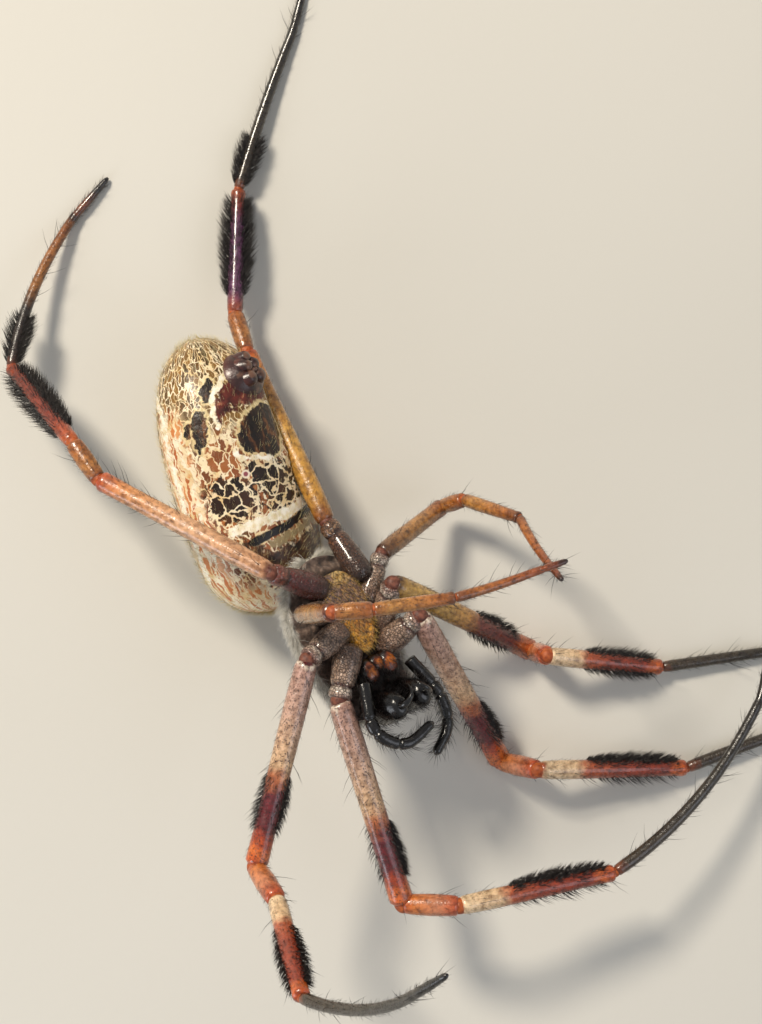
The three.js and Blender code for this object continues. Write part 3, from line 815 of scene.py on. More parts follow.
# Share of the way along a segment, and the radius there as a share of the segment's own.
PROFILES: dict[Segment, Profile] = {
    Segment.COXA: (
        (0.0, 0.7), (0.08, 1.16), (0.3, 1.2), (0.5, 1.12), (0.7, 1.0), (0.765, 0.8),
        (0.8, 0.9), (0.9, 0.98), (0.96, 0.88), (1.0, 0.5),
    ),
    Segment.FEMUR: (
        (0.0, 0.5), (0.012, 0.82), (0.04, 0.93), (0.2, 1.0), (0.5, 0.97), (0.8, 0.93),
        (0.93, 0.97), (0.975, 0.99), (1.0, 0.6),
    ),
    Segment.PATELLA: (
        (0.0, 0.5), (0.04, 0.86), (0.15, 0.93), (0.5, 1.02), (0.85, 0.97), (0.96, 0.9), (1.0, 0.55),
    ),
    Segment.TIBIA: (
        (0.0, 0.5), (0.015, 0.84), (0.05, 0.92), (0.2, 0.98), (0.6, 0.96), (0.9, 0.88),
        (0.96, 0.93), (0.985, 0.9), (1.0, 0.5),
    ),
    Segment.FOOT: (
        (0.0, 0.5), (0.01, 0.9), (0.04, 1.0), (0.4, 0.9), (0.775, 0.78), (0.79, 0.66),
        (0.81, 0.74), (0.9, 0.68), (0.985, 0.5), (1.0, 0.2),
    ),
}

# Rings of each segment's skin, and points in a ring.
RINGS = {
    Segment.COXA: 48,
    Segment.FEMUR: 80,
    Segment.PATELLA: 36,
    Segment.TIBIA: 80,
    Segment.FOOT: 90,
}
LEG_SIDES = 28


@dataclass(frozen=True)
class HairKind:
    """Hair of one kind all over a leg: number per millimetre, length, radius and lean."""

    per_mm: float
    length: float
    radius: float
    lean: float


FINE_HAIR = HairKind(24, 0.4, 0.011, 50)
SPINES = HairKind(1.5, 1.35, 0.021, 40)


@dataclass(frozen=True)
class Brush:
    """Rows of black bristles along the sides of a segment."""

    segment: Segment
    start: float
    end: float
    length: float
    count: int


BRUSHES: dict[int, tuple[Brush, ...]] = {
    1: (Brush(Segment.FEMUR, 0.6, 0.86, 0.85, 560), Brush(Segment.TIBIA, 0.32, 0.92, 0.95, 1000)),
    2: (Brush(Segment.FEMUR, 0.55, 0.82, 0.8, 480), Brush(Segment.TIBIA, 0.32, 0.9, 0.9, 760)),
    3: (),
    4: (Brush(Segment.TIBIA, 0.14, 0.9, 1.3, 1350), Brush(Segment.FOOT, 0.02, 0.24, 1.1, 600)),
}


@dataclass
class Leg:
    """One leg: five skins, the joint membranes, fine hair, spines and brushes."""

    side: Side
    pair: int
    pose: tuple[tuple[float, float], ...]
    turn: float
    finishes: dict[Segment, LegChitin]
    brush_balance: float = 0.6
    joint_radius: float = 0.8
    hip_radius: float = 0.7
    joint_stretch: float = 1.1
    bristle_lean: float = 40
    bristle_radius: float = 0.025
    brush_spread: float = 0.5
    brush_thinning: float = 0.45

    @property
    def name(self) -> str:
        """Name shared by the leg's solids, such as leg_l1."""
        return f"leg_{'l' if self.side is Side.LEFT else 'r'}{self.pair}"

    def joints(self) -> np.ndarray:
        """Works out where the leg's joints lie.

        Returns:
            Middle points of the joints, from the body to the tip.
        """
        points = [BODY.place(COXA_ALONG[self.pair], self.side.value * COXA_BESIDE[self.pair], 0.0)]
        for (heading, rise), length in zip(self.pose, LENGTHS[self.pair]):
            points.append(points[-1] + length * direction(heading, rise))
        return np.array(points)

    def centre_line(self, segment: Segment, count: int) -> np.ndarray:
        """Middle line of a segment. A coxa starts inside the body.

        Args:
            segment: The segment.
            count: Number of points.

        Returns:
            Evenly spaced points along the line.
        """
        joints = self.joints()
        if segment is Segment.COXA:
            root = joints[0] - COXA_ROOT * unit(joints[1] - joints[0])
            return np.linspace(root, joints[1], count)
        if segment is not Segment.FOOT:
            index = list(Segment).index(segment)
            return np.linspace(joints[index], joints[index + 1], count)
        start, end, tip = joints[4:7]
        chord = end - start
        aside = unit(np.cross(chord, UP))
        sag = np.linalg.norm(chord) * math.tan(math.radians(self.turn) / 4) / 2
        t = np.linspace(0, 1, 9)[:, None]
        curve = start + chord * t + aside * 4 * t * (1 - t) * sag
        return spline([*curve, (end + tip) / 2 + 0.02 * UP, tip], count)

    def radii(self, segment: Segment, count: int) -> np.ndarray:
        """Thickness along a segment.

        Args:
            segment: The segment.
            count: Number of points.

        Returns:
            Radius at each point of the segment's middle line.
        """
        share = np.linspace(0, 1, count)
        size = np.interp(share, *zip(*PROFILES[segment]))
        index = list(Segment).index(segment)
        radius = RADII[self.pair][index]
        if segment is Segment.FOOT:
            return size * radius
        tip = (radius * 3 + RADII[self.pair][index + 1]) / 4
        return size * (radius + (tip - radius) * share)

    def dress(self, membrane: bpy.types.Material, black: bpy.types.Material) -> None:
        """Makes the leg's pieces in place of its solids.

        Args:
            membrane: Skin of the joints.
            black: Finish of bristles and spines.
        """
        hairs = Hairs(seed=HAIR_SEED + self.pair * 2 + self.side.value)
        for segment in Segment:
            self._skin(segment)
            self._fine_hair(segment, hairs)
        for brush in BRUSHES[self.pair]:
            self._brush(brush, hairs)
        ride(hairs.build(f"{self.name}_bristles", black))
        self._membranes(membrane)

    def _skin(self, segment: Segment) -> None:
        """Makes the skin of one segment.

        Args:
            segment: The segment.
        """
        count = RINGS[segment]
        rings = sweep(self.centre_line(segment, count), self.radii(segment, count), LEG_SIDES)
        draft = Draft()
        add_skin(draft, rings, along=np.linspace(0, 1, count))
        piece = draft.build(f"{self.name}_{segment.value}_skin", self.finishes[segment].material())
        ride(piece, f"{self.name}_{segment.value}", slot=segment.value)

    def _round(
        self, segment: Segment, shares: np.ndarray, angles: np.ndarray
    ) -> tuple[np.ndarray, np.ndarray, np.ndarray]:
        """Points on a segment's skin.

        Args:
            segment: The segment.
            shares: Place of each point along it, from 0 to 1.
            angles: Angle of each point round it, 0 level to one side.

        Returns:
            Points, directions out of the skin and directions along the leg.
        """
        count = 61
        path, radii = self.centre_line(segment, count), self.radii(segment, count)
        tangents, side, other = frames_along(path)
        grid = np.linspace(0, 1, count)

        def at(table: np.ndarray) -> np.ndarray:
            """Values of a table of vectors at the shares."""
            return np.stack([np.interp(shares, grid, table[:, i]) for i in range(3)], 1)

        outward = unit(at(side) * np.cos(angles)[:, None] + at(other) * np.sin(angles)[:, None])
        radius = np.interp(shares, grid, radii)[:, None]
        return at(path) + outward * radius * 0.97, outward, unit(at(tangents))

    def _unwrap(self, segment: Segment, shares: np.ndarray, angles: np.ndarray) -> np.ndarray:
        """Places on the leg's unwrap, which has the segments side by side and the angle upwards.

        Args:
            segment: The segment.
            shares: Place of each point along it.
            angles: Angle of each point round it.

        Returns:
            Places from 0 to 1, n by 2.
        """
        index = list(Segment).index(segment)
        across = (index + np.clip(shares, 0, 0.99)) / len(Segment)
        return on_unwrap(across, (angles % (2 * np.pi)) / (2 * np.pi))

    def _fine_hair(self, segment: Segment, hairs: Hairs) -> None:
        """Grows short hair all over a segment, with a few long spines.

        Args:
            segment: The segment.
            hairs: Hairs that receive them.
        """
        draw = hairs.random
        path = self.centre_line(segment, 12)
        reach = np.linalg.norm(np.diff(path, axis=0), axis=1).sum()
        stout = 0.6 + 0.4 * RADII[self.pair][0] / RADII[1][0]
        for hair in (FINE_HAIR, SPINES):
            number = int(hair.per_mm * reach * (0.5 if segment is Segment.COXA else 1))
            shares = draw.uniform(0.35 if segment is Segment.COXA else 0.03, 0.97, number)
            angles = draw.uniform(0, 2 * np.pi, number)
            roots, outward, along = self._round(segment, shares, angles)
            size = hair.length * draw.uniform(0.6, 1.25, number) * stout
            places = self._unwrap(segment, shares, angles)
            hairs.grow(roots, outward, along, size, hair.lean, hair.radius, places, 0.12)

    def _brush(self, brush: Brush, hairs: Hairs) -> None:
        """Grows bristles in a band along each side of a segment, with bare chitin between.

        Args:
            brush: Where the bristles stand, with their length and number.
            hairs: Hairs that receive them.
        """
        draw = hairs.random
        shares = draw.uniform(brush.start, brush.end, brush.count)
        middle = (brush.start + brush.end) / 2
        off_middle = np.abs((shares - middle) / (brush.end - brush.start) * 2)
        swell = 1 - self.brush_thinning * off_middle**2.5
        flank = np.where(draw.uniform(0, 1, brush.count) < self.brush_balance, 0.0, np.pi)
        angles = flank + draw.normal(0, self.brush_spread, brush.count)
        roots, outward, along = self._round(brush.segment, shares, angles)
        size = brush.length * swell * draw.uniform(0.55, 1.1, brush.count)
        places = self._unwrap(brush.segment, shares, angles)
        lean, radius = self.bristle_lean, self.bristle_radius
        hairs.grow(roots, outward, along, size, lean, radius, places, 0.1, 0.3)

    def _membranes(self, material: bpy.types.Material) -> None:
        """Makes the soft balls of skin that fill the joints.

        Args:
            material: Finish of joint skin.
        """
        joints, draft, rings = self.joints(), Draft(), 13
        for index in range(1, 5):
            along = unit(joints[index + 1] - joints[index - 1])
            size = self.hip_radius if index == 1 else self.joint_radius
            radius = size * min(RADII[self.pair][index - 1 : index + 1])
            share = np.linspace(-1, 1, rings)
            path = joints[index] + share[:, None] * along * radius * self.joint_stretch
            ball = sweep(path, radius * np.sqrt(np.maximum(1 - share**2, 0.02)), 18)
            add_skin(draft, ball, knee=np.full(rings, float(index > 1)))
        ride(draft.build(f"{self.name}_joint_skin", material), slot=Segment.PATELLA.value)


FRONT = {
    Segment.COXA: COXA_GREY,
    Segment.FEMUR: FEMUR_MAUVE,
    Segment.PATELLA: PATELLA_ORANGE,
    Segment.TIBIA: TIBIA_BANDED,
    Segment.FOOT: FOOT_OLIVE,
}
THIRD = {
    Segment.COXA: COXA_GREY,
    Segment.FEMUR: FEMUR_BROWN,
    Segment.PATELLA: PATELLA_BROWN,
    Segment.TIBIA: TIBIA_BROWN,
    Segment.FOOT: FOOT_ORANGE,
}
HIND = {
    Segment.COXA: COXA_RED,
    Segment.FEMUR: FEMUR_TAN,
    Segment.PATELLA: PATELLA_BROWN,
    Segment.TIBIA: TIBIA_RED,
    Segment.FOOT: FOOT_BANDED,
}
SECOND_RIGHT = {**FRONT, Segment.FEMUR: FEMUR_GOLD}
HIND_RIGHT = {
    Segment.COXA: COXA_BROWN,
    Segment.FEMUR: FEMUR_ORANGE,
    Segment.PATELLA: PATELLA_BROWN,
    Segment.TIBIA: TIBIA_RED_PAINTED_SHEEN,
    Segment.FOOT: FOOT_OLIVE,
}

# Heading from +X and rise above the floor of each segment, in degrees; then the foot's turn, the
# finishes and the share of the brushes' bristles on the side to the left of the heading.
L1 = Leg(
    Side.LEFT, 1, ((-101, 14), (-73, -9), (-1, 6), (10, -12), (48, -12), (76, -16)), 32, FRONT, 0.9
)
L2 = Leg(
    Side.LEFT, 2, ((-140, 36), (-104, 2), (-48, 50), (-68, 56), (21, 56), (43, 47)), 31, FRONT, 0.6
)
L3 = Leg(Side.LEFT, 3, ((180, 64), (12, 72), (4, 0), (8, -6), (17, -16), (19, -4)), 6, THIRD)
L4 = Leg(
    Side.LEFT,
    4,
    ((160, 42), (152, -12), (126, -12), (133, -35.5), (70.5, -16.8), (50, -3)),
    -24,
    HIND,
    0.34,
)
R1 = Leg(
    Side.RIGHT, 1, ((40, 20.4), (-61, -34), (-6, 50), (-1, -15), (19, -1.8), (2, -1)), -4, FRONT, 0.88
)
R2 = Leg(
    Side.RIGHT, 2, ((72, 32), (-27, -37), (-8, 76), (-7, -22), (8, -3), (4, -2)), 0, SECOND_RIGHT, 0.6
)
R3 = Leg(Side.RIGHT, 3, ((72, -10), (37, -44), (18, 52), (-19, 42), (-62, 52), (-54, 54)), 8, THIRD)
R4 = Leg(
    Side.RIGHT,
    4,
    ((124, -16), (115.5, -14), (108, -24), (89, -9), (71.5, -4), (75, -2)),
    -6,
    HIND_RIGHT,
    0.5,
)
LEGS = (L1, L2, L3, L4, R1, R2, R3, R4)


Outline = tuple[tuple[float, float], ...]


def from_line(at: np.ndarray, start: tuple[float, float], end: tuple[float, float]) -> np.ndarray:
    """Distance of points from a straight line between two ends.

    Args:
        at: Points, any number by 2.
        start: One end of the line.
        end: Its other end.

    Returns:
        Distance of each point.
    """
    a, b = np.array(start), np.array(end)
    share = np.clip(((at - a) @ (b - a)) / ((b - a) @ (b - a)), 0, 1)
    return np.linalg.norm(at - a - share[..., None] * (b - a), axis=-1)


@dataclass(frozen=True)
class Patch:
    """Patch on the abdomen's skin, by points in millimetres forward and to the left of mid-belly."""

    outline: Outline

    def distance(self, at: np.ndarray) -> np.ndarray:
        """Distance from the patch's edge.

        Args:
            at: Points on the skin, forward and round.

        Returns:
            Millimetres outside the edge, negative inside.
        """
        nearest = np.full(at.shape[:-1], np.inf)
        inside = np.zeros(at.shape[:-1], bool)
        for a, b in zip(self.outline, (*self.outline[1:], self.outline[0])):
            nearest = np.minimum(nearest, from_line(at, a, b))
            spans = (at[..., 1] < a[1]) != (at[..., 1] < b[1])
            crossing = a[0] + (at[..., 1] - a[1]) / (b[1] - a[1] + 1e-9) * (b[0] - a[0])
            inside ^= spans & (at[..., 0] < crossing)
        return np.where(inside, -nearest, nearest)


@dataclass(frozen=True)
class Band:
    """Band along a line of points on the abdomen's skin."""

    line: Outline
    half_width: float

    def distance(self, at: np.ndarray) -> np.ndarray:
        """Millimetres outside the band's edge, negative inside."""
        lines = [from_line(at, a, b) for a, b in zip(self.line, self.line[1:])]
        return np.minimum.reduce(lines) - self.half_width


# Marks of the belly and the left flank. Each field of the skin is the nearest of its marks.
MARKS: dict[str, tuple[Patch | Band, ...]] = {
    "dark": (
        Patch((
            (-5.26, 5.48), (-4.91, 4.75), (-3.82, 4.87), (-2.77, 5.36), (-2.32, 5.97), (-2.72, 6.21),
            (-3.72, 6.13), (-4.71, 5.97),
        )),
        Patch(((-4.51, 6.49), (-4.41, 6.21), (-3.52, 6.41), (-3.37, 6.78), (-3.96, 6.82))),
        Patch((
            (-4.4, 0.41), (-4.0, -0.6), (-2.9, -1.35), (-1.77, -0.77), (-0.92, 0.12), (-0.62, 0.85),
            (-1.17, 1.66), (-1.27, 2.56), (-2.02, 3.0), (-2.8, 2.95), (-3.8, 2.2), (-4.15, 1.3),
        )),
        Patch(((-6.76, 4.46), (-7.06, 3.65), (-6.61, 3.37), (-5.56, 4.26), (-5.66, 4.71), (-6.26, 4.87))),
    ),
    "maroon": (
        Patch((
            (-5.16, 3.85), (-6.41, 2.88), (-6.81, 1.62), (-7.46, -0.45), (-7.3, -2.9), (-5.4, -2.8),
            (-4.66, -0.77), (-4.41, 0.53), (-4.61, 2.72), (-3.87, 4.18),
        )),
    ),
    "bold": (
        Patch((
            (-0.07, 5.92), (-0.37, 4.46), (0.57, 3.04), (1.37, 2.72), (2.62, 3.37), (2.92, 4.54),
            (2.77, 5.88), (1.92, 6.49), (0.82, 6.45),
        )),
        Patch((
            (-0.97, 3.04), (-0.57, 2.15), (-0.32, 0.49), (0.67, -0.61), (1.82, -1.46), (2.67, -2.31),
            (3.12, 0.32), (3.12, 1.87), (2.42, 2.56), (0.92, 2.68), (-0.22, 3.29),
        )),
    ),
    "cells": (
        Patch((
            (-3.2, 3.3), (-2.6, 5.2), (-1.9, 6.2), (0.2, 6.6), (1.9, 6.7), (3.0, 6.0), (3.2, 4.4),
            (3.1, 1.9), (3.2, -2.6), (1.4, -2.8), (-1.6, -2.6), (-2.6, -1.6), (-0.6, 0.6), (-1.0, 2.6),
        )),
    ),
    "cream": (
        Band(((-7.16, 1.7), (-6.66, 2.52), (-6.16, 3.53)), 0.2),
        Band(((-6.16, 3.61), (-5.36, 4.06), (-4.11, 4.26), (-3.62, 4.1)), 0.13),
        Band(((3.37, 5.4), (3.42, 3.77), (3.37, 2.52), (3.37, 1.1), (3.07, -0.77), (2.62, -2.76)), 0.36),
        Band(((-1.77, 3.53), (-1.17, 3.21), (-0.97, 2.27), (-0.52, 1.06)), 0.14),
    ),
    "margin": (
        Band((
            (-8.4, 12.6), (-7.61, 12.09), (-5.81, 9.21), (-4.01, 8.97), (-1.42, 8.85), (2.17, 9.17),
            (5.66, 9.33), (8.2, 10.79),
        ), 0.34),
    ),
    "furrow": (
        Band(((4.6, 4.3), (4.4, 2.9), (4.21, 1.42), (3.87, 0.12), (3.45, -2.4)), 0.27),
    ),
    "olive": (Band(((5.06, 2.92), (4.91, 1.66), (4.66, 0.24), (4.36, -1.79), (4.21, -2.76)), 0.26),),
    "plate": (
        Patch((
            (3.9, 5.1), (4.7, 4.3), (5.45, 3.1), (5.3, 0.9), (4.9, -1.6), (5.0, -3.4), (8.4, -3.0),
            (9.2, 0.4), (8.2, 3.6), (5.9, 5.2),
        )),
    ),
}
SPOT = (-0.07, 3.29)


Place = tuple[float, float, float]
# Foot and top of a cone (forward, to the left, out of the belly) and its radii there.
Cone = tuple[Place, Place, float, float]


@dataclass
class Abdomen:
    """Long egg-shaped abdomen with its spinnerets."""

    length: float = 19.9
    half_width: float = 5.0
    half_height: float = 4.4
    widest: float = 0.12
    rear_bluntness: float = 2.8
    front_bluntness: float = 3.8
    spinneret_place: float = -6.6
    round_mm: float = 4.65
    dent_room: float = 0.12
    dent_softness: float = 1.1
    hairs: int = 6500
    fuzz_length: float = 0.5
    fuzz_lean: float = 38
    fuzz_radius: float = 0.009
    spinneret_sink: float = 0.25
    mound: Cone = ((0.3, 0, -0.3), (0.1, 0, 0.95), 1.85, 1.05)
    tubercle: Cone = ((-0.9, 0, 0), (-1.2, 0, 1.0), 0.6, 0.3)
    tips: tuple[Cone, ...] = (
        ((0.5, 0.62, 0.2), (0.3, 0.42, 1.4), 0.74, 0.36),
        ((-0.5, 0.5, 0.2), (-0.45, 0.34, 1.25), 0.64, 0.3),
        ((0.0, 0.2, 0.2), (-0.1, 0.14, 1.25), 0.36, 0.16),
    )

    def swell(self, share: np.ndarray) -> np.ndarray:
        """Outline of the abdomen.

        Args:
            share: Place along the length, from 0 at the rear to 1.

        Returns:
            Half size there as a share of the widest.
        """
        s = 2 * share - 1 - self.widest
        reach = np.where(s < 0, 1 + self.widest, 1 - self.widest)
        power = np.where(s < 0, self.rear_bluntness, self.front_bluntness)
        return np.sqrt(np.maximum(0, 1 - (np.abs(s) / reach) ** power))

    def skin(self, rows: int, sides: int) -> tuple[np.ndarray, np.ndarray, np.ndarray]:
        """Works out the skin.

        Args:
            rows: Number of rings.
            sides: Points in each ring.

        Returns:
            Points, and their places forward and round in millimetres.
        """
        share = 0.5 - 0.5 * np.cos(np.pi * np.linspace(0.008, 0.992, rows))
        angle = np.linspace(-np.pi, np.pi, sides, endpoint=False)
        forward = (share - 0.5)[:, None] * self.length + 0 * angle
        swell = self.swell(share)[:, None]
        beside = np.sin(angle) * swell * self.half_width
        points = ABDOMEN.place(forward, beside, np.cos(angle) * swell * self.half_height)
        points = self._dented(points, forward)
        points[..., 2] = np.maximum(points[..., 2], 0.0)
        return points, forward, angle[None] * self.round_mm + 0 * forward

    def _dented(self, points: np.ndarray, forward: np.ndarray) -> np.ndarray:
        """Pulls the skin in towards the abdomen's axis where the right hind femur presses on it.

        Args:
            points: Points of the skin.
            forward: Their places along the abdomen.

        Returns:
            The dented skin's points.
        """
        start, end = R4.joints()[1:3]
        femur, room = unit(end - start), RADII[4][1] + self.dent_room
        origin = ABDOMEN.place(forward, 0.0, 0.0)
        length = np.linalg.norm(points - origin, axis=-1)
        ray = unit(points - origin)
        across = ray - (ray @ femur)[..., None] * femur
        apart = origin - start
        apart = apart - (apart @ femur)[..., None] * femur
        a, b = np.sum(across**2, -1), np.sum(apart * across, -1)
        square = np.sum(apart**2, -1)
        near = -b / a
        miss = np.sqrt(np.maximum(square - b**2 / a, 0))
        touch = near - np.sqrt(np.maximum(b**2 - a * (square - room**2), 0)) / a
        limit = touch + (length - near) * smoothstep(miss, room, room + self.dent_softness)
        limit = np.where(near > 0, np.minimum(length, limit), length)
        reach = (origin + near[..., None] * ray - start) @ femur
        span = np.linalg.norm(end - start)
        held = smoothstep(reach, -1.5, 0.0) * (1 - smoothstep(reach, span, span + 1.5))
        return origin + ray * (length + (limit - length) * held)[..., None]

    def dress(self, fuzz: bpy.types.Material) -> None:
        """Makes the abdomen's skin, its short hair and the spinnerets.

        Args:
            fuzz: Finish of the short hair.
        """
        points, forward, around = self.skin(320, 260)
        at = np.stack([forward, around], -1)
        fields = {
            name: np.minimum.reduce([mark.distance(at) for mark in marks])
            for name, marks in MARKS.items()
        }
        draft, side = Draft(), np.abs(around)
        add_skin(
            draft,
            points,
            forward=forward,
            around=around,
            spot=np.linalg.norm(at - np.array(SPOT), axis=-1),
            flank=smoothstep(side, 6.2, 7.4) * smoothstep(forward, -6.5, -4.5),
            back=smoothstep(side, 9.6, 10.6),
            rear=1 - smoothstep(forward, -4.4, -2.6),
            front=smoothstep(forward, 6.6, 8.4),
            **fields,
        )
        ride(draft.build("abdomen_skin", AbdominalSkin().material()), "abdomen", slot="abdomen")
        self._fuzz(points, fuzz)
        self._spinnerets()

    def _fuzz(self, points: np.ndarray, fuzz: bpy.types.Material) -> None:
        """Grows sparse short pale hair, denser towards the front.

        Args:
            points: Points of the skin.
            fuzz: Finish of the hair.
        """
        hairs = Hairs(seed=HAIR_SEED + 50)
        draw, (rows, sides) = hairs.random, points.shape[:2]
        i = np.clip((draw.beta(1.5, 1.0, self.hairs) * rows).astype(int), 4, rows - 5)
        j = draw.integers(0, sides, self.hairs)
        i, j = i[points[i, j, 2] > 0.4], j[points[i, j, 2] > 0.4]
        lengthwise = unit(points[i - 2, j] - points[i + 2, j])
        roundwise = unit(points[i, (j + 2) % sides] - points[i, j - 2])
        outward = unit(np.cross(roundwise, lengthwise))
        outward *= np.sign(np.sum(outward * (points[i, j] - points[i].mean(1)), 1))[:, None]
        places = on_unwrap(i / rows, j / sides)
        length = self.fuzz_length * draw.uniform(0.5, 1.2, len(i))
        radius = self.fuzz_radius
        hairs.grow(points[i, j], outward, lengthwise, length, self.fuzz_lean, radius, places, 0.2)
        ride(hairs.build("abdomen_fuzz", fuzz))

    def _spot(self, at: Place) -> np.ndarray:
        """Point by the spinnerets.

        Args:
            at: Millimetres forward, to the left and out of the belly from their middle.

        Returns:
            The point.
        """
        share = np.array(self.spinneret_place / self.length + 0.5)
        surface = float(self.swell(share)) * self.half_height - self.spinneret_sink
        return ABDOMEN.place(self.spinneret_place + at[0], at[1], surface + at[2])

    def _spinnerets(self) -> None:
        """Makes the low smooth mound, its three pairs of short blunt tips and the tubercle."""
        parts = [self.mound, self.tubercle]
        for side in (-1, 1):
            for (a, b, c), (d, e, f), base, tip in self.tips:
                parts.append(((a, side * b, c), (d, side * e, f), base, tip))
        draft, share = Draft(), np.linspace(0, 1, 30)
        for root, top, base, tip in parts:
            start, end = self._spot(root), self._spot(top)
            size = tip + (base - tip) * (1 - share**1.6)
            size *= np.sqrt(np.maximum(1 - np.maximum(share - 0.8, 0) ** 2 / 0.042, 0.02))
            add_skin(draft, sweep(start + (end - start) * share[:, None], size, 28), along=share)
        ride(draft.build("spinneret_cone", SpinneretChitin().material()), "spinnerets", slot="spinnerets")


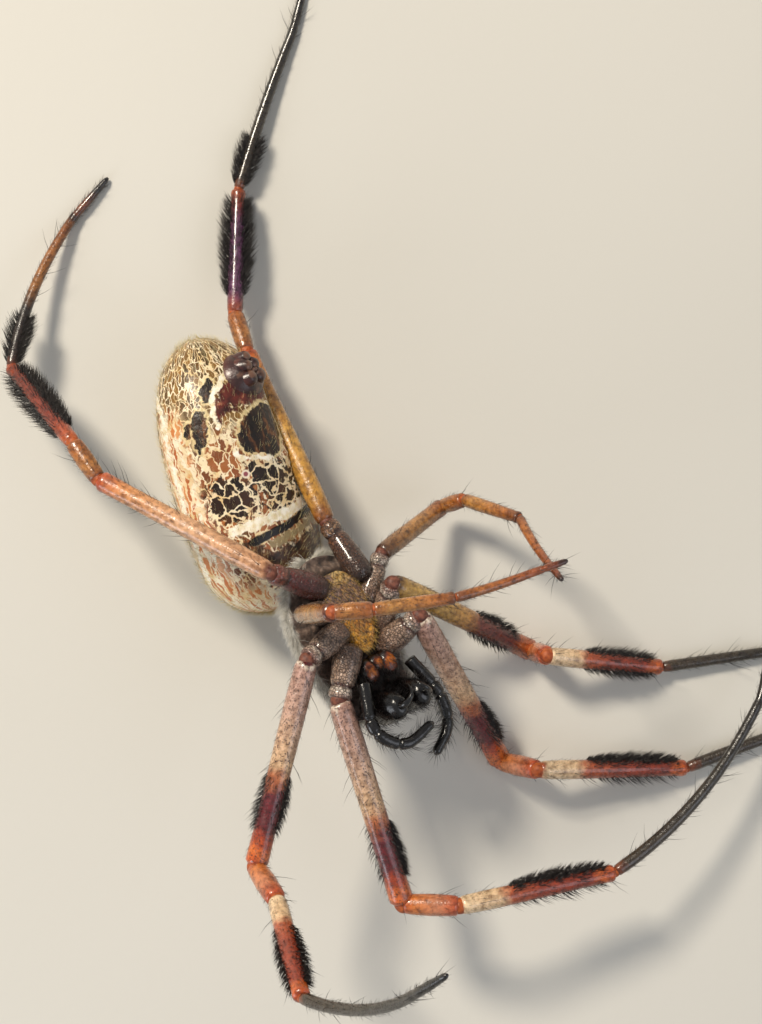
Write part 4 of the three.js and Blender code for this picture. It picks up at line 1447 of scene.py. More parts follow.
@dataclass(frozen=True)
class AbdominalSkin:
    """Thin clear cuticle of the abdomen over cream guanine and brown pigment.

    Guanine crystals under the clear skin form a cream net whose lines are 0.1 to 0.2 mm wide. Brown
    pigment fills the cells between: fine and olive at the rear, larger and orange-brown on the
    belly, drawn out to orange streaks on the flank, and black-brown in the two bold fields.
    """

    name: str = "abdominal_skin"

    def _net(
        self,
        s: Surface,
        at: Socket,
        stretch: tuple[float, float],
        line: float,
        soft: float,
        tones: Stops,
    ) -> Socket:
        """Cells in several tones between cream lines.

        Args:
            s: Surface that receives the nodes.
            at: Place on the skin in millimetres, forward and round.
            stretch: Cells per millimetre, forward and round.
            line: Half width of the lines as a share of a cell.
            soft: Width of the lines' soft edge as a share of a cell.
            tones: Colours of the cells.

        Returns:
            The net's colour.
        """
        scaled = s.add(Node.STRETCH, at, (*stretch, 1.0))
        tone = s.add(Node.RED, s.add(Node.CELL_TONE, scaled, 1.0))
        cells = s.add(Node.RAMP, tone, stops=tones)
        swing = s.add(Node.RISE, s.add(Node.NOISE, at, 1.3, 2.0), 0.3, 0.7, -line * 0.6, line * 0.6)
        edge = s.add(Node.ADD, s.add(Node.CELL_EDGE, scaled, 1.0), swing)
        cream = s.add(Node.NOISE, at, 0.9, 2.0)
        cream = s.add(Node.RAMP, cream, stops=((0.3, 0xDDBE88), (0.7, 0xF4E8CC)))
        return s.add(Node.MIX, s.add(Node.RISE, edge, line, line + soft), cream, cells)

    def _inside(self, s: Surface, field: str, rough: Socket, ragged: float, soft: float) -> Socket:
        """Mask of the marks of a field.

        Args:
            s: Surface that receives the nodes.
            field: Name of the field.
            rough: Noise from -0.5 to 0.5.
            ragged: Depth of the ragged edge in millimetres.
            soft: Half width of the edge's blur in millimetres.

        Returns:
            Factor that is 1 inside the marks.
        """
        edge = s.add(Node.MULTIPLY, rough, ragged)
        edge = s.add(Node.ADD, s.add(Node.FIELD, attribute_name=field), edge)
        return s.add(Node.RISE, edge, -soft, soft, 1.0, 0.0)

    def material(self) -> bpy.types.Material:
        """Makes the material.

        Returns:
            The material.
        """
        s = Surface(self.name, Gloss(roughness=0.38, ior=1.45, coat=0.2, coat_roughness=0.25, depth=0.1))
        forward = s.add(Node.FIELD, attribute_name="forward")
        flat = s.add(Node.JOIN, forward, s.add(Node.FIELD, attribute_name="around"))
        drift = s.add(Node.SCALE_VECTOR, s.add(Node.DRIFT, s.place, per(1.2), 3.0), 1.1)
        wave = s.add(Node.SCALE_VECTOR, s.add(Node.DRIFT, s.place, per(0.42), 2.0), 0.5)
        at = s.add(Node.ADD_VECTOR, s.add(Node.ADD_VECTOR, flat, drift), wave)
        rough = s.add(Node.RISE, s.add(Node.NOISE, s.place, per(0.45), 4.0), 0.25, 0.75, -0.5, 0.5)

        tones = ((0.0, 0x4A3618), (0.5, 0x6C4E24), (1.0, 0x92692E))
        fine = self._net(s, at, (1.6, 2.4), 0.045, 0.06, tones)
        tones = ((0.0, 0x5E3418), (0.5, 0x8A4E2A), (1.0, 0xB06E38))
        belly = self._net(s, at, (0.9, 2.0), 0.045, 0.06, tones)
        tones = ((0.0, 0xB05A26), (0.5, 0xC6763A), (1.0, 0xDA9A60))
        streak = self._net(s, at, (0.42, 2.3), 0.07, 0.1, tones)
        tones = ((0.0, 0x1A0E08), (0.6, 0x2A170C), (1.0, 0x4A2A14))
        bold = self._net(s, at, (1.1, 1.05), 0.05, 0.05, tones)
        tones = ((0.0, 0x463C20), (0.5, 0x62542E), (1.0, 0x807044))
        back = self._net(s, at, (1.0, 1.4), 0.06, 0.1, tones)
        islands = s.add(Node.NOISE, s.add(Node.STRETCH, at, (0.6, 1.5, 1.0)), 1.0, 4.0)
        islands = s.add(Node.RISE, islands, 0.57, 0.63, 0.0, 0.95)
        belly = s.add(Node.MIX, islands, belly, 0xEEDDB8)
        streak = s.add(Node.MIX, islands, streak, 0xF2E6CC)

        colour = s.add(Node.MIX, s.add(Node.FIELD, attribute_name="rear"), belly, fine)
        colour = s.add(Node.MIX, s.add(Node.FIELD, attribute_name="flank"), colour, streak)
        colour = s.add(Node.MIX, s.add(Node.FIELD, attribute_name="front"), colour, streak)
        colour = s.add(Node.MIX, self._inside(s, "cells", rough, 0.8, 0.15), colour, belly)
        colour = s.add(Node.MIX, self._inside(s, "bold", rough, 0.9, 0.12), colour, bold)
        colour = s.add(Node.MIX, s.add(Node.FIELD, attribute_name="back"), colour, back)
        pale = s.add(Node.NOISE, s.place, per(0.5), 3.0)
        pale = s.add(Node.RAMP, pale, stops=((0.35, 0xE4D2A8), (0.6, 0xFAF3E2)))
        colour = s.add(Node.MIX, self._inside(s, "margin", rough, 0.5, 0.12), colour, pale)
        plate = s.add(Node.NOISE, s.place, per(0.7), 4.0)
        plate = s.add(Node.RAMP, plate, stops=((0.35, 0x22140D), (0.6, 0x5E3C24), (0.7, 0x9A8058)))
        colour = s.add(Node.MIX, self._inside(s, "plate", rough, 0.8, 0.2), colour, plate)
        maroon = s.add(Node.NOISE, s.place, per(0.6), 3.0)
        maroon = s.add(Node.RAMP, maroon, stops=((0.3, 0x2E1210), (0.62, 0x66281E), (0.72, 0xA86A50)))
        colour = s.add(Node.MIX, self._inside(s, "maroon", rough, 0.8, 0.25), colour, maroon)
        long = s.add(Node.NOISE, s.add(Node.STRETCH, at, (0.45, 2.2, 1.0)), 1.0, 3.0)
        black = s.add(Node.RAMP, long, stops=((0.4, 0x140B07), (0.56, 0x2E1B10), (0.66, 0x6E4322)))
        halo = s.add(Node.MULTIPLY, rough, 0.3)
        halo = s.add(Node.ADD, s.add(Node.FIELD, attribute_name="dark"), halo)
        colour = s.add(Node.MIX, s.add(Node.RISE, halo, 0.1, 0.3, 0.75, 0.0), colour, 0xE6D09C)
        colour = s.add(Node.MIX, self._inside(s, "dark", rough, 0.3, 0.05), colour, black)
        colour = s.add(Node.MIX, self._inside(s, "olive", rough, 0.5, 0.15), colour, 0x94805A)
        colour = s.add(Node.MIX, self._inside(s, "cream", rough, 0.3, 0.06), colour, pale)
        furrow = self._inside(s, "furrow", rough, 0.12, 0.06)
        colour = s.add(Node.MIX, furrow, colour, 0x100906)
        spot = s.add(Node.FIELD, attribute_name="spot")
        colour = s.add(Node.MIX, s.add(Node.RISE, spot, 0.26, 0.34, 1.0, 0.0), colour, 0xE8D8C4)
        colour = s.add(Node.MIX, s.add(Node.RISE, spot, 0.14, 0.2, 1.0, 0.0), colour, 0x8E4650)

        normal = s.add(Node.BUMP, s.add(Node.NOISE, s.place, per(0.2), 4.0), 0.035 * MM)
        normal = s.add(Node.BUMP, s.add(Node.NOISE, s.place, per(1.1), 2.0), 0.1 * MM, normal)
        normal = s.add(Node.BUMP, furrow, -0.12 * MM, normal)
        worn = s.add(Node.RISE, s.add(Node.NOISE, s.place, per(0.4), 2.0), 0.3, 0.7, 0.3, 0.5)
        return s.finish(colour, normal, worn)


@dataclass(frozen=True)
class SpinneretChitin:
    """Thick dark chitin of the spinnerets, wet-looking: a hard gloss over maroon, paler tips."""

    name: str = "chitin_spinneret"

    def material(self) -> bpy.types.Material:
        """Makes the material.

        Returns:
            The material.
        """
        s = Surface(self.name, Gloss(roughness=0.36, coat=0.25, coat_roughness=0.2))
        along = s.add(Node.FIELD, attribute_name="along")
        wobble = s.add(Node.RISE, s.add(Node.NOISE, s.place, per(0.8), 3.0), 0.2, 0.8, -0.3, 0.3)
        tones = ((0.0, 0x56261A), (0.4, 0x3C1714), (0.8, 0x260F0D), (1.0, 0x664636))
        colour = s.add(Node.RAMP, s.add(Node.ADD, along, wobble), stops=tones)
        return s.finish(colour, s.add(Node.BUMP, s.add(Node.NOISE, s.place, per(0.2), 3.0), 0.03 * MM))


@dataclass
class Cephalothorax:
    """Carapace with eyes and felt, sternum, mouthparts, chelicerae with fangs, and palps."""

    rear: float = -4.4
    front: float = 7.3
    half_width: float = 3.9
    head_half_width: float = 3.0
    depth: float = 3.5
    top: float = -1.4
    edge: float = 0.45
    head_rise: float = 0.5
    face_rounding: float = 1.3
    brow_rounding: float = 2.7
    pit_depth: float = 0.28
    fold_height: float = 0.12
    eye_radius: float = 0.27
    eyes: tuple[tuple[float, float, float], ...] = (
        (6.95, 0.42, 2.2), (6.6, 0.5, 2.9), (6.45, 1.75, 1.75), (6.2, 1.8, 2.35),
    )
    sternum_length: float = 6.0
    sternum_half_width: float = 1.75
    chelicera_half: tuple[float, float] = (1.2, 0.96)
    chelicera_length: float = 3.7
    palp_radius: float = 0.45
    margin_hairs: int = 4800
    margin_length: float = 0.9
    felt_hairs: int = 5200
    felt_length: float = 0.4
    sternum_hairs: int = 650
    mouth_hairs: int = 260
    jaw_hairs: int = 420
    palp_hairs: int = 340
    jaw_profile: Profile = (
        (0, 0.9), (0.12, 1), (0.35, 1.06), (0.6, 1), (0.82, 0.84), (0.95, 0.62), (1, 0.4),
    )
    fang_line: tuple[Place, ...] = (
        (7.1, 1.15, 3.8), (7.05, 1.05, 4.3), (6.8, 0.75, 4.72), (6.4, 0.45, 4.7), (6.0, 0.34, 4.45),
    )
    fang_radius: float = 0.3
    fang_point: float = 0.03
    left_palp: tuple[Place, ...] = (
        (4.75, 2.1, 0.8), (7.8, 3.0, 1.0), (9.6, 1.5, 1.3), (9.2, -0.9, 1.9),
    )
    right_palp: tuple[Place, ...] = (
        (4.75, 2.1, 0.8), (7.8, 3.0, 0.9), (10.0, 2.6, 0.7), (11.4, 0.9, 0.3),
    )
    palp_joints: tuple[float, ...] = (0.3, 0.42, 0.64)

    def width(self, along: np.ndarray) -> np.ndarray:
        """Plan of the carapace.

        Args:
            along: Millimetres forward.

        Returns:
            Half width there.
        """
        blend = smoothstep(along, 2.0, 5.5)
        width = self.half_width + (self.head_half_width - self.half_width) * blend
        return width * self._rear(along) * self._front(along, self.face_rounding, 4)

    def dome(self, along: np.ndarray) -> np.ndarray:
        """Height of the carapace's back.

        Args:
            along: Millimetres forward.

        Returns:
            Depth there, below its edge.
        """
        dip = 0.35 * np.exp(-(((along - 2.2) / 0.9) ** 2))
        slope = smoothstep(along, 1.0, 5.0) * self.head_rise
        full = self.depth - self.head_rise + slope - dip
        return full * self._rear(along) * self._front(along, self.brow_rounding, 3)

    def _rear(self, along: np.ndarray) -> np.ndarray:
        """Round rear end: one up to the middle, nothing at the rear."""
        return np.sqrt(np.maximum(0, 1 - np.maximum(along / self.rear, 0) ** 2))

    def _front(self, along: np.ndarray, length: float, power: float) -> np.ndarray:
        """Round front end of the given length: one behind it, nothing at the front."""
        share = np.maximum((along - self.front + length) / length, 0)
        return np.sqrt(np.maximum(0, 1 - share**power))

    def dress(
        self, black: bpy.types.Material, gold: bpy.types.Material, silver: bpy.types.Material
    ) -> None:
        """Makes every piece of the front body.

        Args:
            black: Finish of dark bristles.
            gold: Finish of the sternum's hair.
            silver: Finish of the carapace's hair.
        """
        chitin = BlackChitin().material()
        self._carapace(silver)
        self._eyes()
        self._sternum(gold)
        self._mouthparts(black)
        for side in Side:
            self._chelicera(side, chitin, black)
            self._palp(side, chitin, black)

    def _carapace(self, silver: bpy.types.Material) -> None:
        """Makes the carapace with its felt, and longer hair along its margin.

        Args:
            silver: Finish of the hair.
        """
        rows, sides = 150, 128
        share = 0.5 - 0.5 * np.cos(np.pi * np.linspace(0.012, 0.988, rows))
        along = (self.rear + share * (self.front - self.rear))[:, None]
        angle = np.linspace(0, 2 * np.pi, sides, endpoint=False)[None]
        sine = np.sin(angle)
        pit = self.pit_depth * np.exp(-(((along - 0.4) / 0.55) ** 2) - (np.cos(angle) / 0.22) ** 2)
        waves = np.sin(along * 5.2 + 2.2 * np.cos(angle))
        folds = self.fold_height * waves * smoothstep(sine, 0.1, 0.5)
        out = np.where(sine > 0, np.abs(sine) ** 0.35 * self.edge + folds, sine * self.dome(along) + pit)
        points = BODY.place(along, np.cos(angle) * self.width(along), self.top - self.edge + out)
        draft = Draft()
        add_skin(draft, points, belly=smoothstep(sine, 0.1, 0.45) + 0 * along)
        piece = draft.build("carapace_skin", CarapaceFelt().material())
        ride(piece, "carapace", "pedicel", slot="carapace")

        hairs = Hairs(seed=HAIR_SEED + 4)
        draw = hairs.random
        count = self.margin_hairs
        margin = draw.integers(0, 2, count) * (sides // 2) + draw.normal(0, 3.0, count).astype(int)
        over = draw.integers(sides // 2, sides, self.felt_hairs)
        j = np.concatenate([margin, over]) % sides
        i = np.clip((draw.beta(1.1, 1.1, len(j)) * rows).astype(int), 3, rows - 4)
        roots = points[i, j]
        lengthwise = unit(points[i + 2, j] - points[i - 2, j])
        outward = unit(np.cross(unit(points[i, (j + 2) % sides] - points[i, j - 2]), lengthwise))
        outward *= np.sign(np.sum(outward * (roots - points[i].mean(1)), 1))[:, None]
        length = np.repeat((self.margin_length, self.felt_length), (len(margin), len(over)))
        length = length * draw.uniform(0.45, 1.15, len(j))
        places = on_unwrap(i / rows, j / sides)
        hairs.grow(roots, outward, lengthwise, length, 36, 0.011, places, 0.24)
        ride(hairs.build("carapace_felt_hair", silver))

    def _eyes(self) -> None:
        """Eight small eyes."""
        draft, share = Draft(), np.linspace(-1, 1, 15)
        size = self.eye_radius * np.sqrt(np.maximum(1 - share**2, 0.003))
        for side in Side:
            for along, beside, below in self.eyes:
                at = BODY.place(along, side.value * beside, self.top - below)
                path = at + share[:, None] * self.eye_radius * BODY.forward
                add_skin(draft, sweep(path, size, 20), along=share)
        ride(draft.build("eyes", Cornea().material()), slot="chelicera")

    def _sternum(self, gold: bpy.types.Material) -> None:
        """Makes the shield with a hump beside each coxa, and its short hair.

        Args:
            gold: Finish of the hair.
        """
        rows, sides = 90, 96
        share = np.linspace(0.01, 0.99, rows)[:, None]
        angle = np.linspace(0, 2 * np.pi, sides, endpoint=False)[None]
        along = (share - 0.5) * self.sternum_length
        width = self.sternum_half_width * np.sin(np.pi * share**0.8) ** 0.6
        sine = np.sin(angle)
        aside = ((np.abs(np.cos(angle)) - 0.72) / 0.2) ** 2
        humps = sum(0.2 * np.exp(-(((along - at) / 0.42) ** 2) - aside) for at in (-1.9, -0.6, 0.8, 1.9))
        raised = sine * (0.1 + 0.35 * np.sin(np.pi * share)) + humps
        out = np.where(sine > 0, raised, -np.abs(sine) ** 0.4 * 1.05)
        points = BODY.place(along, np.cos(angle) * width, out)
        draft = Draft()
        add_skin(draft, points, along=share + 0 * angle)
        ride(draft.build("sternum_shield", SternumChitin().material()), "sternum", slot="sternum")

        hairs, number = Hairs(seed=HAIR_SEED + 8), self.sternum_hairs
        i = hairs.random.integers(3, rows - 3, number)
        j = hairs.random.integers(2, sides // 2 - 2, number)
        lie = np.broadcast_to(BODY.forward, (number, 3))
        up = np.broadcast_to(BODY.belly, (number, 3))
        places = on_unwrap(i / rows, j / sides)
        length = 0.55 * hairs.random.uniform(0.4, 1.2, number)
        hairs.grow(points[i, j], up, lie, length, 42, 0.011, places, 0.25)
        ride(hairs.build("sternum_hair", gold))

    def _mouthparts(self, black: bpy.types.Material) -> None:
        """Makes the lip and the two plates beside it, each an ellipsoid with short dark hair.

        Args:
            black: Finish of the hair.
        """
        draft, hairs = Draft(), Hairs(seed=HAIR_SEED + 9)
        draw = hairs.random
        rows, sides = 40, 36
        share = -np.cos(np.linspace(0.03, np.pi - 0.03, rows))[:, None]
        angle = np.linspace(0, 2 * np.pi, sides, endpoint=False)[None]
        ring = np.sqrt(1 - share**2)
        shapes = [((3.95, 0.0, -0.15), (0.7, 0.75, 0.7))]
        shapes += [((4.3, side.value * 0.85, -0.15), (1.05, 0.8, 0.85)) for side in Side]
        for centre, half in shapes:
            points = BODY.place(
                centre[0] + half[0] * share,
                centre[1] + half[1] * ring * np.cos(angle),
                centre[2] + half[2] * ring * np.sin(angle),
            )
            add_skin(draft, points, middle=np.maximum(np.sin(angle), 0) * ring)
            i = draw.integers(12, rows - 2, self.mouth_hairs)
            j = draw.integers(0, sides // 2, self.mouth_hairs)
            roots = points[i, j]
            lie = np.broadcast_to(BODY.forward, roots.shape)
            length = 0.55 * draw.uniform(0.4, 1.2, len(roots))
            outward = unit(roots - BODY.place(*centre))
            places = np.stack([i / (rows + 1), j / (sides + 1)], 1)
            hairs.grow(roots, outward, lie, length, 40, 0.014, places, 0.2)
        ride(draft.build("mouth_plates", MouthChitin().material()), "mouthparts", slot="mouthparts")
        ride(hairs.build("mouth_hair", black))

    def _chelicera(self, side: Side, chitin: bpy.types.Material, black: bpy.types.Material) -> None:
        """Makes a stout jaw with its hair and the fang folded over its tip.

        Args:
            side: The animal's side.
            chitin: Finish of jaw and fang.
            black: Finish of the hair.
        """
        letter, rows, sides = side.name[0].lower(), 48, 40
        share = np.linspace(0, 1, rows)[:, None]
        size = np.interp(share, *zip(*self.jaw_profile))
        angle = np.linspace(0, 2 * np.pi, sides, endpoint=False)[None]
        long, wide = self.chelicera_half
        points = BODY.place(
            6.65 + 0.45 * share + np.cos(angle) * long * size,
            side.value * (1.16 - 0.12 * share) + np.sin(angle) * wide * size,
            self.top + 0.1 + self.chelicera_length * share,
        )
        draft = Draft()
        add_skin(draft, points, along=share + 0 * angle)
        ride(draft.build(f"chelicera_{letter}_shell", chitin), f"chelicera_{letter}", slot="chelicera")

        hairs, number = Hairs(seed=HAIR_SEED + 11 + side.value), self.jaw_hairs
        i = hairs.random.integers(6, rows - 2, number)
        j = hairs.random.integers(0, sides, number)
        roots = points[i, j]
        lie = np.broadcast_to(BODY.belly, roots.shape)
        length = 0.6 * hairs.random.uniform(0.3, 1.3, number)
        places = np.stack([i / (rows + 1), j / (sides + 1)], 1)
        hairs.grow(roots, unit(roots - points[i].mean(1)), lie, length, 45, 0.013, places, 0.2)
        ride(hairs.build(f"chelicera_{letter}_hair", black))

        line = [BODY.place(a, side.value * b, self.top + c) for a, b, c in self.fang_line]
        grid, fang = np.linspace(0, 1, 30), Draft()
        radii = self.fang_radius + (self.fang_point - self.fang_radius) * grid**1.2
        add_skin(fang, sweep(spline(line, len(grid)), radii, 16), along=grid)
        ride(fang.build(f"fang_{letter}_blade", chitin), f"fang_{letter}", slot="fang")

    def _palp(self, side: Side, chitin: bpy.types.Material, black: bpy.types.Material) -> None:
        """Makes a jointed palp with long dark hair. The left one is curled before the mouth.

        Args:
            side: The animal's side.
            chitin: Finish of the palp.
            black: Finish of the hair.
        """
        letter = side.name[0].lower()
        bends = self.left_palp if side is Side.LEFT else self.right_palp
        grid = np.linspace(0, 1, 120)
        path = spline([BODY.place(a, side.value * b, c) for a, b, c in bends], len(grid))
        waist = sum(np.exp(-(((grid - at) / 0.012) ** 2)) for at in self.palp_joints)
        radii = self.palp_radius * (1 - 0.3 * grid**3) * (1 - 0.28 * waist)
        radii *= np.interp(grid, (0, 0.97, 1), (1, 1, 0.3))
        draft = Draft()
        add_skin(draft, sweep(path, radii, 24), along=grid)
        ride(draft.build(f"palp_{letter}_skin", chitin), f"palp_{letter}", slot="palp")

        hairs, number = Hairs(seed=HAIR_SEED + 21 + side.value), self.palp_hairs
        share = hairs.random.uniform(0.08, 0.99, number)
        angle = hairs.random.uniform(0, 2 * np.pi, number)
        tangents, across, other = frames_along(path)
        at = (share * (len(grid) - 1)).astype(int)
        outward = across[at] * np.cos(angle)[:, None] + other[at] * np.sin(angle)[:, None]
        length = hairs.random.uniform(0.3, 1.3, number) * (0.4 + 0.6 * share)
        roots = path[at] + outward * radii[at, None] * 0.9
        places = np.stack([share, angle / 7], 1)
        hairs.grow(roots, outward, tangents[at], length, 40, 0.017, places, 0.12)
        ride(hairs.build(f"palp_{letter}_hair", black))


@dataclass(frozen=True)
class CarapaceFelt:
    """Silver felt of flat hairs over brown chitin, and the bare wrinkled skin between the coxae.

    The felt scatters light like frost and is worn through in places. The belly side has none: it
    is grey-brown skin in folds about a millimetre apart.
    """

    name: str = "felt_on_carapace"

    def material(self) -> bpy.types.Material:
        """Makes the material.

        Returns:
            The material.
        """
        s = Surface(self.name, Gloss(roughness=0.55, sheen=0.4))
        grain = s.add(Node.NOISE, s.place, per(0.12), 4.0)
        felt = s.add(Node.RAMP, grain, stops=((0.3, 0xBAB2A2), (0.7, 0xF6F2EA)))
        under = s.add(Node.NOISE, s.place, per(0.5), 3.0)
        under = s.add(Node.RAMP, under, stops=((0.3, 0x2C1E18), (0.7, 0x6A4A38)))
        worn = s.add(Node.RISE, s.add(Node.NOISE, s.place, per(1.6), 4.0), 0.58, 0.7, 0.0, 0.7)
        colour = s.add(Node.MIX, worn, felt, under)
        fold = s.add(Node.NOISE, s.place, per(0.4), 5.0)
        skin = s.add(Node.RAMP, fold, stops=((0.3, 0x261A14), (0.5, 0x5A463A), (0.7, 0x8C7668)))
        belly = s.add(Node.FIELD, attribute_name="belly")
        colour = s.add(Node.MIX, belly, colour, skin)
        normal = s.add(Node.BUMP, grain, 0.04 * MM)
        return s.finish(colour, s.add(Node.BUMP, fold, 0.12 * MM, normal))


@dataclass(frozen=True)
class SternumChitin:
    """Tanned chitin of the sternum: scaly, grey-brown behind, orange-yellow in front."""

    name: str = "chitin_sternum"

    def material(self) -> bpy.types.Material:
        """Makes the material.

        Returns:
            The material.
        """
        s = Surface(self.name, Gloss(roughness=0.36, coat=0.2, coat_roughness=0.25))
        along = s.add(Node.FIELD, attribute_name="along")
        wobble = s.add(Node.RISE, s.add(Node.NOISE, s.place, per(1.1), 3.0), 0.2, 0.8, -0.22, 0.22)
        tones = (
            (0.0, 0xD2B070), (0.2, 0x8A6C5C), (0.45, 0x7A5A48), (0.6, 0xC07E2C), (0.85, 0xECA830),
            (1.0, 0xD8922C),
        )
        colour = s.add(Node.RAMP, s.add(Node.ADD, along, wobble), stops=tones)
        cloud = s.add(Node.NOISE, s.place, per(0.3), 4.0)
        cloud = s.add(Node.RAMP, cloud, stops=((0.3, 0x6E6460), (0.6, 0xFFFFFF)))
        colour = s.add(Node.DARKEN, 1.0, colour, cloud)
        crack = s.add(Node.RISE, s.add(Node.CELL_EDGE, s.place, per(0.3)), 0.0, 0.14, 0.7, 0.0)
        colour = s.add(Node.MIX, crack, colour, 0x2A1A14)
        normal = s.add(Node.BUMP, s.add(Node.NOISE, s.place, per(0.25), 4.0), 0.08 * MM)
        return s.finish(colour, s.add(Node.BUMP, crack, -0.05 * MM, normal))


@dataclass(frozen=True)
class MouthChitin:
    """Thick black chitin of the mouth plates, with orange middles where it is thin and clear."""

    name: str = "chitin_mouth"

    def material(self) -> bpy.types.Material:
        """Makes the material.

        Returns:
            The material.
        """
        s = Surface(self.name, Gloss(roughness=0.24, coat=0.5, coat_roughness=0.14))
        middle = s.add(Node.FIELD, attribute_name="middle")
        wobble = s.add(Node.RISE, s.add(Node.NOISE, s.place, per(0.6), 3.0), 0.2, 0.8, -0.2, 0.2)
        tones = ((0.0, 0x0C0706), (0.72, 0x1A0E0A), (0.9, 0x763414), (1.0, 0xB8641E))
        colour = s.add(Node.RAMP, s.add(Node.ADD, middle, wobble), stops=tones)
        return s.finish(colour, s.add(Node.BUMP, s.add(Node.NOISE, s.place, per(0.2), 3.0), 0.04 * MM))


@dataclass(frozen=True)
class BlackChitin:
    """Hard black chitin of jaws, fangs and palps, polished by its wax: sharp bluish highlights."""

    name: str = "chitin_black"

    def material(self) -> bpy.types.Material:
        """Makes the material.

        Returns:
            The material.
        """
        s = Surface(self.name, Gloss(roughness=0.24, coat=0.3, coat_roughness=0.08))
        tones = ((0.3, 0x030202), (0.7, 0x0C0808))
        colour = s.add(Node.RAMP, s.add(Node.NOISE, s.place, per(0.6), 3.0), stops=tones)
        normal = s.add(Node.BUMP, s.add(Node.NOISE, s.place, per(0.16), 3.0), 0.02 * MM)
        normal = s.add(Node.BUMP, s.add(Node.NOISE, s.place, per(0.7), 2.0), 0.07 * MM, normal)
        return s.finish(colour, normal)


@dataclass(frozen=True)
class JointMembrane:
    """Soft untanned skin between the leg segments: matt and a little clear.

    It is orange-red at the knees and dark red-brown where a leg joins its coxa.
    """

    name: str = "joint_membrane"

    def material(self) -> bpy.types.Material:
        """Makes the material.

        Returns:
            The material.
        """
        s = Surface(self.name, Gloss(roughness=0.5, ior=1.45, depth=0.1))
        grain = s.add(Node.NOISE, s.place, per(0.3), 3.0)
        hip = s.add(Node.RAMP, grain, stops=((0.3, 0x44201A), (0.7, 0x84503E)))
        knee = s.add(Node.RAMP, grain, stops=((0.3, 0x7E3416), (0.7, 0xBA5E28)))
        colour = s.add(Node.MIX, s.add(Node.FIELD, attribute_name="knee"), hip, knee)
        return s.finish(colour, s.add(Node.BUMP, s.add(Node.NOISE, s.place, per(0.1), 2.0), 0.03 * MM))


@dataclass(frozen=True)
class Cornea:
    """Clear smooth lens of an eye over black pigment, which shows one hard highlight."""

    name: str = "cornea"

    def material(self) -> bpy.types.Material:
        """Makes the material.

        Returns:
            The material.
        """
        s = Surface(self.name, Gloss(roughness=0.06, coat=1.0, coat_roughness=0.03))
        tones = ((0.0, 0x0A0706), (1.0, 0x1C120E))
        colour = s.add(Node.RAMP, s.add(Node.NOISE, s.place, per(0.3), 1.0), stops=tones)
        return s.finish(colour, s.add(Node.BUMP, s.add(Node.NOISE, s.place, per(0.2), 1.0), 0.002 * MM))


@dataclass(frozen=True)
class PlainFloor:
    """Pale matt paper under the model, without a pattern that would draw the eye."""

    name: str = "plain_floor"

    def material(self) -> bpy.types.Material:
        """Makes the material.

        Returns:
            The material.
        """
        s = Surface(self.name, Gloss(roughness=0.85, ior=1.4))
        tones = ((0.3, 0xC9C6BE), (0.7, 0xCFCCC4))
        colour = s.add(Node.RAMP, s.add(Node.NOISE, s.place, per(60.0), 1.0), stops=tones)
        return s.finish(colour, s.add(Node.BUMP, s.add(Node.NOISE, s.place, per(0.8), 2.0), 0.01 * MM))


@dataclass(frozen=True)
class Lamp:
    """Round soft light: place and size in millimetres, power in watts, colour."""

    name: str
    place: tuple[float, float, float]
    size: float
    power: float
    colour: int


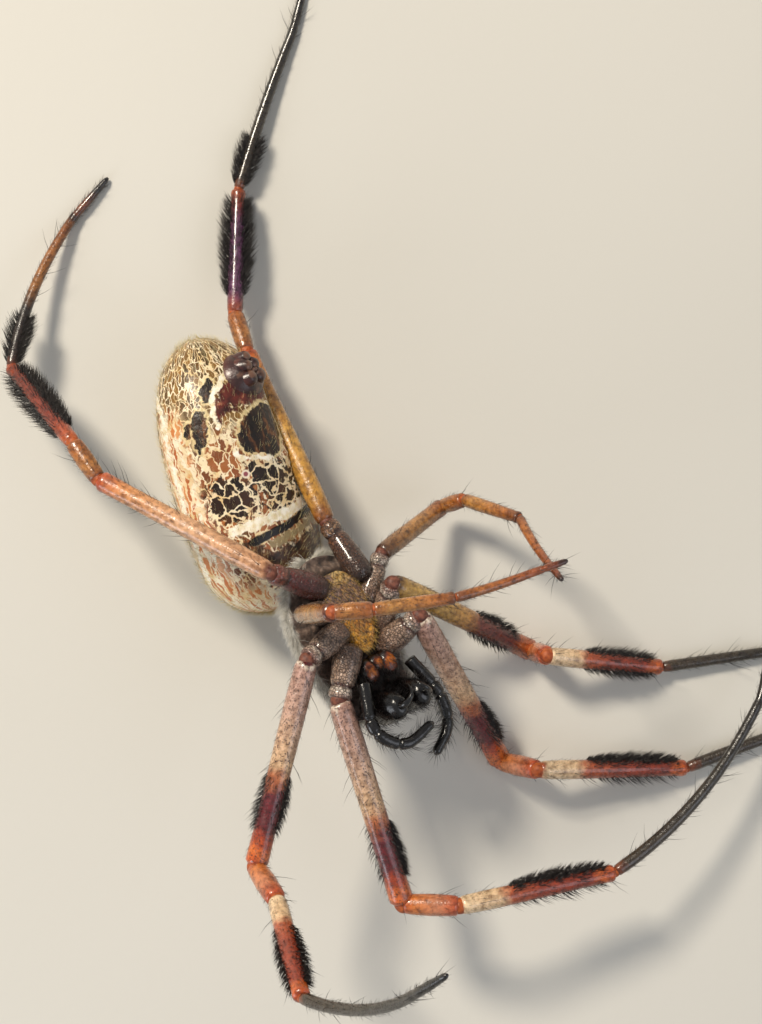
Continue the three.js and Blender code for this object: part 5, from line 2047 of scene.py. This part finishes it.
@dataclass
class Studio:
    """Pale floor, soft lights and the camera straight above."""

    camera_height: float = 160.0
    camera_lens: float = 77.4
    floor_half: float = 400.0
    sky: int = 0xF2F4F6
    sky_strength: float = 0.4
    lamps: tuple[Lamp, ...] = (
        Lamp("key", (-165.0, 182.0, 260.0), 76.0, 1.28, 0xFFF4E2),
        Lamp("fill", (130.0, -60.0, 150.0), 140.0, 0.07, 0xF0F4FF),
        Lamp("rim", (-120.0, -90.0, 60.0), 70.0, 0.05, 0xF4F8FF),
    )

    def build(self) -> None:
        """Makes the floor, the lights, the sky and the camera."""
        self._floor()
        for lamp in self.lamps:
            self._light(lamp)
        world = bpy.data.worlds.new("studio")
        world.use_nodes = True
        back = world.node_tree.nodes["Background"]
        back.inputs["Color"].default_value = linear(self.sky)
        back.inputs["Strength"].default_value = self.sky_strength
        bpy.context.scene.world = world
        self._camera()
        bpy.context.scene.view_settings.view_transform = "Standard"

    def _camera(self) -> None:
        """Camera that looks straight down on the floor, the way the photo faces the spider."""
        lens = bpy.data.cameras.new("camera")
        lens.lens = self.camera_lens
        lens.sensor_width = 36
        lens.clip_start, lens.clip_end = 0.005, 10
        camera = bpy.data.objects.new("camera", lens)
        camera.location = tuple((SHIFT + self.camera_height * UP) * MM)
        bpy.context.scene.collection.objects.link(camera)
        bpy.context.scene.camera = camera

    def _floor(self) -> None:
        """Square of floor at height 0."""
        half = self.floor_half * MM
        corners = [(-half, -half, 0), (half, -half, 0), (half, half, 0), (-half, half, 0)]
        mesh = bpy.data.meshes.new("floor")
        mesh.from_pydata(corners, [], [(0, 1, 2, 3)])
        mesh.materials.append(PlainFloor().material())
        floor = bpy.data.objects.new("floor", mesh)
        bpy.context.scene.collection.objects.link(floor)

    def _light(self, lamp: Lamp) -> None:
        """Makes one round soft light aimed at the model.

        Args:
            lamp: The light.
        """
        data = bpy.data.lights.new(lamp.name, "AREA")
        data.shape = "DISK"
        data.size = lamp.size * MM
        data.energy = lamp.power
        data.color = linear(lamp.colour)[:3]
        light = bpy.data.objects.new(lamp.name, data)
        light.location = tuple(np.array(lamp.place) * MM)
        aim = Vector((0, 0, 5)) - Vector(lamp.place)
        light.rotation_mode = "QUATERNION"
        light.rotation_quaternion = aim.to_track_quat("-Z", "Y")
        bpy.context.scene.collection.objects.link(light)


def main() -> None:
    """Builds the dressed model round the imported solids."""
    logging.basicConfig(level=logging.INFO)
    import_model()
    Studio().build()
    black = Bristle("bristle_black", 0x0D0908, 0x241812).material()
    gold = Bristle("hair_golden", 0xD0962E, 0xF8D88C, 0.45).material()
    pale = Bristle("hair_pale_yellow", 0xC8B070, 0xF6EAB8, 0.5).material()
    silver = Bristle("hair_silver", 0xCEC8B8, 0xFAF7EE, 0.45).material()
    membrane = JointMembrane().material()
    for leg in LEGS:
        leg.dress(membrane, black)
    Abdomen().dress(pale)
    Cephalothorax().dress(black, gold, silver)


if __name__ == "__main__":
    main()
